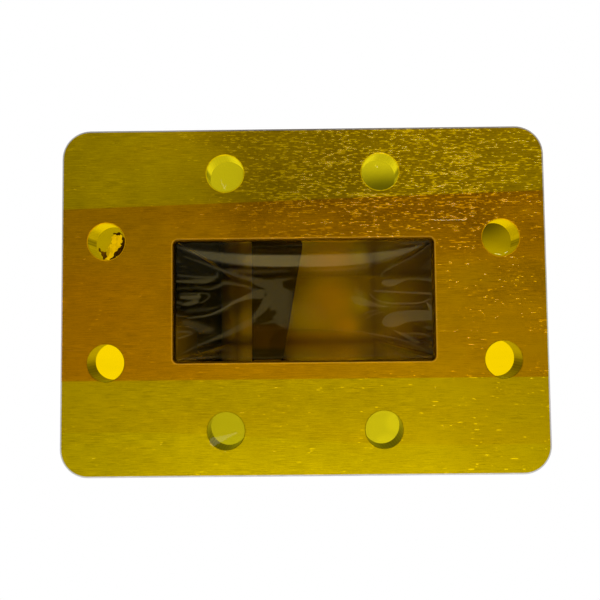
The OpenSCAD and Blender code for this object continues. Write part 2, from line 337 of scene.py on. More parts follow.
def scratched(t, flat, x, y):
    """Where the face is scratched: thick at the upper right, thinner down the right side."""
    cloud = t.noise(flat, (0.08, 0.22, 0.22), detail=1, seed=3)
    upper_right = t.maths("MULTIPLY", t.ramp(x, -36, 4), t.ramp(y, -4, 20))
    upper_right = t.maths("MULTIPLY", upper_right, t.ramp(x, 28, 44, 1.0, 0.75))
    upper_right = t.maths("MULTIPLY", upper_right, t.ramp(y, 15, 19, 0.8, 1.0))
    right_side = t.maths("MULTIPLY", t.ramp(x, 10, 44), t.ramp(y, -30, 8, 0.1, 0.4))
    dense = t.maths("MAXIMUM", upper_right, right_side)
    return t.maths("ADD", dense, t.maths("MULTIPLY", t.maths("SUBTRACT", cloud, 0.5), 0.9), clamp=True)


def marks(t, flat, length, pitch, seed, dense, few, many, sharp=14):
    """Short straight marks in rows along the grain, few where dense is 0 and many where it is 1."""
    x, y, z = t.apart(flat)
    row = t.maths("FLOOR", t.maths("DIVIDE", t.maths("MULTIPLY_ADD", x, 0.006, y), pitch))
    level = t.noise(t.add("CombineXYZ", {
        0: t.maths("ADD", t.maths("DIVIDE", x, length), t.maths("MULTIPLY", row, 7.31)),
        1: t.maths("MULTIPLY", row, 1.37)}).outputs[0], (1, 1, 1), detail=0, seed=seed)
    groups = t.noise(flat, (0.12, 0.9, 1), detail=0, seed=seed + 3)
    level = t.maths("ADD", level, t.maths("MULTIPLY", t.maths("SUBTRACT", groups, 0.5), 0.3))
    limit = t.ramp(dense, 0, 1, few, many, kind="LINEAR")
    return t.maths("MULTIPLY", t.maths("SUBTRACT", level, limit), sharp, clamp=True)


def nicks(t, x, y, chosen):
    """The chosen single marks, as a share of white."""
    cover = 0.0
    for start, end, half, strength in chosen:
        side = (end[0] - start[0], end[1] - start[1])
        length = side[0] ** 2 + side[1] ** 2
        off_x, off_y = t.maths("SUBTRACT", x, start[0]), t.maths("SUBTRACT", y, start[1])
        share = t.maths("ADD", t.maths("MULTIPLY", off_x, side[0] / length),
                        t.maths("MULTIPLY", off_y, side[1] / length), clamp=True)
        away = t.length(t.maths("SUBTRACT", off_x, t.maths("MULTIPLY", share, side[0])),
                        t.maths("SUBTRACT", off_y, t.maths("MULTIPLY", share, side[1])))
        wide = t.ramp(share, 0, 1, half[0], half[1], kind="LINEAR")
        mark = t.ramp(t.maths("SUBTRACT", wide, away), -0.05, 0.06, 0, strength)
        cover = t.maths("MAXIMUM", cover, mark)
    return cover


# Single marks on the film: from, to, half width at both ends, strength
NICKS = [
    ((24.1, 14.4), (29.9, 14.4), (0.03, 0.03), 0.7),
    ((-44.1, -8.8), (-40.1, -8.8), (0.05, 0.03), 0.25),
    ((-15.0, 22.3), (-14.8, 21.3), (0.04, 0.05), 0.7),
    ((-14.7, 21.5), (-14.4, 20.8), (0.06, 0.09), 0.6),
    ((-14.0, 21.5), (-14.4, 20.8), (0.04, 0.09), 0.6),
    ((-14.4, 20.8), (-14.2, 20.4), (0.09, 0.04), 0.6),
    ((13.5, 24.7), (13.8, 24.3), (0.04, 0.08), 0.5),
    ((35.0, 8.1), (36.0, 7.95), (0.03, 0.05), 0.9),
    ((36.8, 8.2), (37.2, 8.4), (0.05, 0.03), 0.9),
    ((-16.9, -26.1), (-16.6, -26.3), (0.05, 0.03), 0.6),
    ((-15.8, -26.9), (-15.5, -27.0), (0.03, 0.05), 0.6),
    ((-14.7, -27.2), (-14.3, -27.2), (0.05, 0.03), 0.5),
    ((-16.6, -25.4), (-12.3, -23.8), (0.75, 0.1), 0.3),
]


def plate_finish(settings):
    """Rolled aluminium with a fine grain along its length and short bright scratches, with painted shade and
    light over the face, in the bolt holes and on the mouth's bevel.
    """
    material, t = new_finish("rolled_aluminium")
    mm = t.place_mm()
    x, y, z = t.apart(mm)
    grain = t.noise(mm, (0.3, 7.0, 7.0), detail=4, rough=0.65)
    fine = t.noise(mm, (1.6, 9, 9), detail=3, rough=0.6, seed=7)
    cloud = t.noise(mm, (0.07, 0.12, 0.12), detail=3, seed=5)
    flat = t.add("CombineXYZ", {0: x, 1: y}).outputs[0]
    dense = scratched(t, flat, x, y)
    dash = t.maths("MAXIMUM", marks(t, flat, 1.1, 0.15, 11, dense, 0.80, 0.57),
                   marks(t, flat, 2.1, 0.17, 17, dense, 0.83, 0.65))
    dash = t.maths("MULTIPLY", dash, t.ramp(z, 138.85, 138.95, 0, 0.31))
    dash = t.maths("MULTIPLY", dash, t.ramp(x, -6, 20, 0.6, 1.0))
    shade = t.maths("ADD", t.maths("MULTIPLY", t.maths("SUBTRACT", grain, 0.5), 1.1), 0.98)
    # painted shade: darker towards the top
    shade = t.maths("MULTIPLY", shade, t.ramp(y, -12, 22, 1.0, 0.8))
    shade = t.maths("MULTIPLY", shade, t.ramp(cloud, 0.3, 0.7, 0.93, 1.03))
    # painted shade in the middle of the face and painted light towards its right
    shade = t.maths("MULTIPLY", shade, t.ramp(x, -38, -5, 1.0, 0.84, kind="LINEAR"))
    shade = t.maths("MULTIPLY", shade, t.ramp(x, 5, 36, 1.0, 1.32, kind="LINEAR"))
    shade = t.maths("MULTIPLY", shade, t.ramp(fine, 0.3, 0.7, 0.9, 1.06))
    # painted shade: darker where the face is most scratched
    shade = t.maths("MULTIPLY", shade, t.ramp(dense, 0.1, 1, 1.0, 0.66), clamp=True)
    # painted shade: the upper middle of the face is darker
    painted_dark_top = t.maths("MULTIPLY", t.ramp(x, -32, -6), t.ramp(x, 6, 22, 1, 0))
    painted_dark_top = t.maths("MULTIPLY", painted_dark_top, t.ramp(y, 12, 21))
    on_face = t.ramp(z, 138.7, 138.85)
    painted_dark_top = t.maths("MULTIPLY", painted_dark_top, on_face)
    shade = t.maths("MULTIPLY", shade, t.maths("SUBTRACT", 1.0, t.maths("MULTIPLY", painted_dark_top, 0.22)))
    # painted light: lighter at the upper right corner
    shade = t.maths("MULTIPLY", shade, t.ramp(t.maths("MULTIPLY", x, t.ramp(y, 8, 16)), 28, 40, 1.0, 1.14))
    dark = t.mix(1.0, tuple(settings.plate_colour), t.grey(shade), "MULTIPLY")
    # painted reflection: across the middle band the green is lowered at the left and raised at the right
    reflected_band = t.maths("MULTIPLY", t.ramp(y, -15, -13.6), t.ramp(y, 3, 10, 1, 0))
    reflected_band = t.maths("MULTIPLY", reflected_band, on_face)
    reflected_hue = t.maths("MULTIPLY", reflected_band, t.ramp(x, -40, 28, -0.1, 0.09, kind="LINEAR"))
    dark = t.mix(1.0, dark, t.add("CombineColor", {
        0: 1.0, 1: t.maths("ADD", 1.0, reflected_hue), 2: 1.0}).outputs[0], "MULTIPLY")
    # painted shade: where the face is most scratched it is also made browner
    dark = t.mix(dense, dark, t.mix(1.0, dark, (1.0, 0.88, 0.7, 1), "MULTIPLY"))
    colour = t.mix(dash, dark, (0.99, 0.96, 0.90, 1))
    from_hole = from_holes(t, x, y)
    # painted highlight: a thin bright ring round the upper bolt holes
    rim_highlight = t.ramp(t.maths("ABSOLUTE", t.maths("SUBTRACT", from_hole, 0.07)), 0.03, 0.14, 0.9, 0)
    rim_highlight = t.maths("MULTIPLY", rim_highlight, t.ramp(y, -6, 0))
    colour = t.mix(rim_highlight, colour, (0.98, 0.97, 0.94, 1))
    # painted shade and light on the bolt holes' walls: lighter above each hole's middle, darker below it,
    # darker in the lower holes, with a dark sliver on the outer side of the upper holes
    middle = t.maths("MULTIPLY", t.maths("SIGN", y), t.ramp(
        t.maths("ABSOLUTE", x), 25, 25.1, EDGE_HOLE[1], END_HOLE[1]))
    above = t.maths("SUBTRACT", y, middle)
    painted_light = t.maths("MULTIPLY", t.ramp(above, -1.6, 1.6, 0.4, 1.0), t.ramp(y, -6, 6, 0.6, 1.0))
    painted_light = t.maths("MULTIPLY", painted_light, t.ramp(y, -20, -14, 0.62, 1.0))
    off = t.maths("ABSOLUTE", t.maths("SUBTRACT", above, t.ramp(x, 25, 25.1, 0.1, -0.7)))
    outward = t.maths("GREATER_THAN", t.maths("ABSOLUTE", x), t.ramp(
        t.maths("ABSOLUTE", x), 25, 25.1, 16.5, 38.4))
    sliver = t.maths("MULTIPLY", t.maths("MULTIPLY", outward, t.ramp(y, -1, 1)),
                     t.ramp(off, 0.3, 0.9, 0.65, 0))
    painted_light = t.maths("MULTIPLY", painted_light, t.maths("SUBTRACT", 1.0, sliver))
    in_hole = t.ramp(from_hole, -0.03, 0.03, 1, 0)
    colour = t.mix(in_hole, colour, t.grey(painted_light))
    # painted shade on the mouth's bevel
    bevel = t.maths("MULTIPLY", t.ramp(from_mouth(t, x, y), -0.06, 0.02, 1, 0), t.ramp(z, 138.5, 138.7))
    colour = t.mix(bevel, colour, (0.17, 0.15, 0.10, 1))
    # painted highlight: a thin bright line just outside the bevel
    bevel_highlight = t.ramp(t.maths("ABSOLUTE", t.maths("SUBTRACT", from_mouth(t, x, y), 0.17)), 0.04, 0.16, 0.4, 0)
    colour = t.mix(bevel_highlight, colour, (0.98, 0.97, 0.94, 1))
    rough = t.maths("ADD", t.ramp(grain, 0.3, 0.7, settings.plate_roughness - 0.03,
                                  settings.plate_roughness + 0.05), t.maths("MULTIPLY", dash, 0.4))
    height = t.maths("ADD", t.maths("MULTIPLY", grain, 0.5), t.maths("MULTIPLY", dash, 0.5))
    across = t.add("CombineXYZ", {0: 0.0, 1: 1.0, 2: 0.0}).outputs[0]
    shader = t.add("BsdfPrincipled", {
        "Base Color": colour, "Metallic": 1.0, "Roughness": rough, "Anisotropic": 0.45,
        "Specular Tint": t.mix(in_hole, (1, 1, 1, 1), t.grey(painted_light)),
        "Tangent": across, "Normal": t.lean(t.bump(height, 0.00002, 0.5), dash, (-0.1, -0.4, 0))})
    t.finish(shader.outputs[0])
    return material


def drawn_finish(settings):
    """Drawn aluminium with faint lines along the tube; inside, parts of the side walls are painted dark as
    shade.
    """
    material, t = new_finish("drawn_aluminium")
    mm = t.place_mm()
    lines = t.noise(mm, (5.5, 5.5, 0.05), detail=4, rough=0.6)
    cloud = t.noise(mm, (0.06, 0.06, 0.03), detail=3, seed=5)
    shade = t.maths("MULTIPLY", t.ramp(lines, 0.3, 0.7, 0.90, 1.0), t.ramp(cloud, 0.3, 0.7, 0.93, 1.0))
    x, y, z = t.apart(mm)
    bore = t.maths("MULTIPLY", t.ramp(t.maths("ABSOLUTE", x), 24.0, 24.3, 1, 0),
                   t.ramp(t.maths("ABSOLUTE", y), 11.3, 11.6, 1, 0))
    outside = t.mix(1.0, tuple(settings.tube_colour), t.grey(shade), "MULTIPLY")
    # painted shade: the bore's right wall is mixed towards near black, most near the mouth
    right_wall_shade = t.maths("MULTIPLY", t.ramp(x, 23.2, 23.6), t.ramp(z, 3, 125, 0.28, 0.92))
    inside = t.mix(right_wall_shade, tuple(settings.bore_colour), (0.05, 0.05, 0.04, 1))
    colour = t.mix(bore, outside, inside)
    dull = t.maths("MULTIPLY", t.ramp(x, -23.6, -23.2, 1, 0),
                   t.maths("MULTIPLY", t.ramp(y, -6, -1, 1, 0), t.ramp(z, 40, 130, 0.1, 0.55)))
    rough = t.maths("MULTIPLY", t.ramp(lines, 0.3, 0.7, 0.24, 0.34), t.ramp(bore, 0, 1, 1.0, 0.12))
    # painted shade in the walls' edge colour: on the right wall it falls towards the mouth, on the left wall
    # it falls from the closed end and stays low to 60 to 85 mm from it
    edge = t.mix(t.ramp(x, 23.2, 23.6), (1, 1, 1, 1), t.grey(t.ramp(z, 55, 125, 0.85, 0.4)))
    far_left = t.maths("MULTIPLY", t.ramp(x, -23.6, -23.2, 1, 0), t.ramp(z, 60, 85, 1, 0))
    edge = t.mix(far_left, edge, t.grey(t.ramp(z, 2, 50, 0.8, 0.05)))
    shader = t.add("BsdfPrincipled", {
        "Base Color": colour, "Metallic": t.maths("SUBTRACT", 1.0, dull), "Roughness": rough,
        "Specular Tint": edge,
        "Normal": t.bump(lines, 0.00003, 0.4)})
    t.finish(shader.outputs[0])
    return material


def milled_finish(settings):
    """Milled aluminium with faint overlapping arcs, etched dull inside the guide, with painted reflected
    light and painted shade in the corners there.
    """
    material, t = new_finish("milled_aluminium")
    mm = t.place_mm()
    x, y, z = t.apart(mm)
    arcs = t.add("TexWave", {"Vector": mm, "Scale": 1.6, "Distortion": 1.2, "Detail": 2.0},
                 wave_type="RINGS", rings_direction="Z").outputs["Fac"]
    cloud = t.noise(mm, (0.08, 0.08, 0.08), detail=3, seed=9)
    shade = t.maths("MULTIPLY", t.ramp(arcs, 0, 1, 0.93, 1.0), t.ramp(cloud, 0.3, 0.7, 0.93, 1.0))
    colour = t.mix(1.0, tuple(settings.cap_colour), t.grey(shade), "MULTIPLY")
    from_side = t.maths("SUBTRACT", 23.775, t.maths("ABSOLUTE", x))
    from_long = t.maths("SUBTRACT", 11.075, t.maths("ABSOLUTE", y))
    from_corner = t.maths("MINIMUM", from_side, from_long)
    inner = t.maths("MULTIPLY", t.ramp(from_corner, -0.1, 0.0), t.ramp(z, 2.9, 2.95))
    dull = tuple(settings.inner_colour)
    # painted reflected light on the inner face
    for place, reach, painted_light in PATCHES:
        dull = t.mix(t.ramp(from_patch(t, x, y, place, reach, cloud, 0.6), 1.2, 0.1), dull, painted_light)
    # painted shade in the corners, along the side walls and most along the lower wall
    corner_shade = t.maths("MINIMUM", t.ramp(from_side, 0.1, 2.6, 0.84, 1),
                          t.ramp(t.maths("ADD", y, 11.075), 0.1, 3.2, 0.52, 1))
    dull = t.mix(1.0, dull, t.grey(corner_shade), "MULTIPLY")
    colour = t.mix(inner, colour, dull)
    rough = t.mix(inner, t.grey(t.ramp(arcs, 0, 1, 0.27, 0.34)), (0.8, 0.8, 0.8, 1))
    shader = t.add("BsdfPrincipled", {
        "Base Color": colour, "Metallic": t.maths("SUBTRACT", 1.0, inner), "Roughness": rough,
        "Normal": t.bump(arcs, 0.00001, 0.5)})
    t.finish(shader.outputs[0])
    return material


# Brighter patches of painted reflected light on the dull inner face of the end plate: middle, reach each
# way, colour
PATCHES = [
    ((6.0, 1.0), (17.0, 13.0), (0.74, 0.78, 0.60, 1)),
    ((0.5, -2.5), (11.0, 8.0), (0.86, 0.96, 0.74, 1)),
    ((9.0, 3.5), (10.5, 12.0), (0.99, 0.91, 0.75, 1)),
    ((14.0, -5.6), (6.5, 5.5), (0.95, 0.86, 0.68, 1)),
    ((19.0, 2.6), (4.0, 4.5), (0.72, 0.86, 0.56, 1)),
    ((4.0, -10.8), (26.0, 5.0), (0.80, 0.66, 0.42, 1)),
    ((-20.5, -4.6), (5.0, 6.5), (0.97, 0.97, 0.86, 1)),
]


def braze_finish(settings):
    """Dull, slightly uneven filler metal."""
    material, t = new_finish("braze_filler")
    mm = t.place_mm()
    lumps = t.noise(mm, (0.5, 0.5, 0.5), detail=4, rough=0.6)
    grit = t.noise(mm, (6, 6, 6), detail=3, seed=2)
    shade = t.maths("MULTIPLY", t.ramp(lumps, 0.3, 0.7, 0.82, 1.0), t.ramp(grit, 0.3, 0.7, 0.9, 1.0))
    colour = t.mix(1.0, tuple(settings.braze_colour), t.grey(shade), "MULTIPLY")
    height = t.maths("ADD", lumps, t.maths("MULTIPLY", grit, 0.15))
    shader = t.add("BsdfPrincipled", {
        "Base Color": colour, "Metallic": 1.0, "Roughness": t.ramp(grit, 0.3, 0.7, 0.42, 0.58),
        "Normal": t.bump(height, 0.00015, 0.5)})
    t.finish(shader.outputs[0])
    return material


def absorber_finish(settings):
    """Matt black casting, slightly grainy, with a brownish band across its lower part."""
    material, t = new_finish("lossy_casting")
    mm = t.place_mm()
    grit = t.noise(mm, (5, 5, 5), detail=3, rough=0.6)
    patches = t.noise(mm, (0.25, 0.25, 0.08), detail=3, seed=4)
    shade = t.maths("MULTIPLY", t.ramp(grit, 0.3, 0.7, 0.8, 1.3), t.ramp(patches, 0.3, 0.7, 0.8, 1.2))
    x, y, z = t.apart(mm)
    # brownish band from about 4.5 to 8.8 mm below the middle
    brown_band = t.maths("MULTIPLY", t.ramp(y, -9.2, -8.4), t.ramp(y, -4.9, -4.1, 1, 0))
    black = t.mix(brown_band, tuple(settings.black), (0.028, 0.019, 0.009, 1))
    colour = t.mix(1.0, black, t.grey(shade), "MULTIPLY")
    shader = t.add("BsdfPrincipled", {
        "Base Color": colour, "Roughness": t.ramp(grit, 0.3, 0.7, 0.55, 0.7),
        "Specular IOR Level": 0.2, "Normal": t.bump(grit, 0.00004, 0.6)})
    t.finish(shader.outputs[0])
    return material


def resin_finish(settings):
    """Thin cured resin, cloudy and satin."""
    material, t = new_finish("bond_resin")
    mm = t.place_mm()
    cloud = t.noise(mm, (0.4, 0.4, 0.2), detail=4, rough=0.6)
    colour = t.mix(cloud, tuple(settings.resin), (0.30, 0.25, 0.15, 1))
    shader = t.add("BsdfPrincipled", {
        "Base Color": colour, "Roughness": t.ramp(cloud, 0.3, 0.7, 0.35, 0.5),
        "Normal": t.bump(cloud, 0.00005, 0.5)})
    t.finish(shader.outputs[0])
    return material


def film_finish(settings, name):
    """Clear amber film: each of its two faces takes half of the strip's tint."""
    material, t = new_finish(name)
    mm = t.place_mm()
    streaks = t.noise(mm, (0.06, 0.5, 0.5), detail=3, seed=6)
    root = tuple(c ** 0.5 for c in settings.tint[:3]) + (1,)
    # the shade attribute holds painted shade of the guide behind the film
    shade = t.add("Attribute", attribute_name="shade").outputs["Fac"]
    dim = t.maths("MULTIPLY", t.ramp(streaks, 0.3, 0.7, 0.99, 1.0), t.maths("POWER", shade, 0.25))
    tint = t.mix(1.0, root, t.grey(dim), "MULTIPLY")
    x, y, z = t.apart(mm)
    if name.endswith("lower"):
        wave = t.ramp(x, -34, 26, -23.6, -26.3)
        paler = t.ramp(t.maths("SUBTRACT", y, wave), -0.12, 0.12, 1, 0)
        tint = t.mix(paler, tint, t.mix(1.0, tint, (1.01, 1.025, 1.0, 1), "MULTIPLY"))
    bend = t.ramp(t.maths("ABSOLUTE", t.maths("SUBTRACT", from_mouth(t, x, y), 0.1)), 0.03, 0.17, 0.8, 0)
    gloss = t.maths("MAXIMUM", bend, t.add("Attribute", attribute_name="gloss").outputs["Fac"])
    flat = t.add("CombineXYZ", {0: x, 1: y}).outputs[0]
    sparks = marks(t, flat, 1.1, 0.15, 11, scratched(t, flat, x, y), 0.80, 0.61)
    sparks = t.maths("MULTIPLY", sparks, t.ramp(from_mouth(t, x, y), 0, 0.3))
    from_hole = from_holes(t, x, y)
    sparks = t.maths("MULTIPLY", sparks, t.ramp(from_hole, 0, 0.1, 0, 0.06))
    own = [mark for mark in NICKS if (mark[0][1] > 18) != name.endswith("lower")]
    sparks = t.maths("MAXIMUM", sparks, nicks(t, x, y, own))
    gloss = t.maths("MAXIMUM", gloss, t.maths("MULTIPLY", sparks, 2.0))
    # light that leaves the film is not bent by it here, so both faces mirror like an outer face
    leaving = t.add("NewGeometry").outputs["Backfacing"]
    fresnel = t.add("Fresnel", {"IOR": t.ramp(leaving, 0, 1, 1.5, 1 / 1.5, kind="LINEAR")}).outputs[0]
    glancing = t.maths("MAXIMUM", t.maths("SUBTRACT", fresnel, 0.0405), 0.0)
    share = t.maths("MAXIMUM", t.maths("MULTIPLY", fresnel, gloss), glancing, clamp=True)
    clear = t.add("BsdfTransparent", {"Color": tint})
    normal = t.add("NewGeometry").outputs["Normal"]
    facing = t.lean(normal, t.maths("GREATER_THAN", sparks, 0.01), (-0.1, -0.5, 0))
    shine = t.add("BsdfGlossy", {
        "Color": (1, 1, 1, 1), "Roughness": t.ramp(sparks, 0, 1, 0.05, 0.3), "Normal": facing})
    both = t.add("MixShader", {0: share, 1: clear.outputs[0], 2: shine.outputs[0]})
    t.finish(both.outputs[0])
    return material


def scrap_finish(name, colour):
    """Crumpled scrap, paler along its creases."""
    material, t = new_finish(name)
    mm = t.place_mm()
    folds = t.noise(mm, (0.9, 0.5, 1), detail=3, seed=8)
    shade = t.ramp(folds, 0.35, 0.6, 0.62, 1.0)
    shader = t.add("BsdfPrincipled", {
        "Base Color": t.mix(1.0, colour, t.grey(shade), "MULTIPLY"), "Roughness": 0.5,
        "Specular IOR Level": 0.2, "Normal": t.bump(folds, 0.0002, 0.6)})
    t.finish(shader.outputs[0])
    return material


# Film


def soft_min(a, b, r):
    """The lower of two heights, rounded over r."""
    share = np.clip(0.5 + (b - a) / (2 * r), 0, 1)
    return b + (a - b) * share - r * share * (1 - share)


def rounded_line(points):
    """The same line with its corners cut twice, so that it bends smoothly."""
    line = np.array(points, float)
    for _ in range(2):
        near = line[:-1] * 0.75 + line[1:] * 0.25
        far = line[:-1] * 0.25 + line[1:] * 0.75
        line = np.vstack([line[:1], np.stack([near, far], 1).reshape(-1, line.shape[1]), line[-1:]])
    return line


def stroke_cover(x, y, points, soft):
    """How much of a stroke with changing half width covers each place."""
    line = rounded_line(points)
    best = np.full(x.shape, -1e9)
    for start, end in zip(line[:-1], line[1:]):
        step = end - start
        length = max(step[0] ** 2 + step[1] ** 2, 1e-12)
        share = np.clip(((x - start[0]) * step[0] + (y - start[1]) * step[1]) / length, 0, 1)
        away = np.hypot(x - start[0] - share * step[0], y - start[1] - share * step[1])
        best = np.maximum(best, start[2] + share * step[2] - away)
    return smooth_share(0.5 + best / soft)


def paint(x, y, strokes, background):
    """Strokes laid one over the other: each brings the places that it covers to its level."""
    level = background
    for stroke_level, soft, points in strokes:
        level = level + (stroke_level - level) * stroke_cover(x, y, points, soft)
    return level


def band_edges(x):
    """Upper and lower edge of the steep band that sags between the two upper corners."""
    u = np.clip(np.abs(x) / (MOUTH_HALF.x / MM - 0.35), 0, 1)
    top = np.where(x < 0, 8.35 + 1.8 * u ** 2.3, 8.32 + 2.05 * u ** 3)
    low = np.where(x < 0, 6.1 + 4.0 * u ** 3.4, 6.05 + 4.5 * u ** 3)
    return top, low


def from_border(x, y):
    """0 at the border of the folded window, 1 a little further in."""
    edge = np.minimum(MOUTH_HALF.x / MM - 0.4 - np.abs(x), MOUTH_HALF.y / MM - 0.4 - np.abs(y))
    return smooth_share(edge / 0.2)


def fold_gloss(x, y):
    """How glossy the film is inside the mouth: flat tops of folds shine, slack film is dull."""
    top, low = band_edges(x)
    gloss = paint(x, y, FOLDS, 0.05 + 0.1 * smooth_share((-x - 12) / 6) * smooth_share((y - 3) / 2))
    band = smooth_share(0.5 + (top - y) / 0.25) * smooth_share(0.5 + (y - low) / 0.25)
    band = band * (1 - 0.36 * smooth_share((x + 7) / 15)) * (1 - 0.28 * smooth_share((-x - 9.5) / 4))
    gloss = gloss * (1 + 0.45 * smooth_share((-x - 9) / 6)) * (1 + 0.9 * smooth_share((x - 8) / 4))
    return (gloss + (1 - gloss) * band) * from_border(x, y)


def film_depth(x, y):
    """How far the film lies below its flat part inside the mouth. All lengths in millimetres."""
    half_x, half_y = MOUTH_HALF.x / MM - 0.35, MOUTH_HALF.y / MM - 0.35
    band_top, band_low = band_edges(x)
    steep = BAND_SLOPE * 0.08 * np.log1p(np.exp(np.clip((band_top - y) / 0.08, -40, 40)))
    from_top = FILM_LEAN * (half_y - y) + steep
    flat_part = FILM_LEAN * (half_y - band_low) + BAND_SLOPE * (band_top - band_low)
    sheet = soft_min(from_top, flat_part, 0.03)
    sheet = soft_min(sheet, LOW_SLOPE * (y + half_y), 0.06)
    edge = np.minimum(half_x - np.abs(x), half_y - np.abs(y)) - 0.15
    raised = paint(x, y, FOLDS, np.full(x.shape, 0.05))
    return smooth_share(edge / 0.45) * (sheet - FOLD_HEIGHT * np.minimum(raised, 1))


# slopes of the sunk film: from the upper long edge, in the steep band, up to the lower long edge
FILM_LEAN, BAND_SLOPE, LOW_SLOPE = 0.03, 0.2, 0.15

# height of a fold whose gloss is 1
FOLD_HEIGHT = 0.03

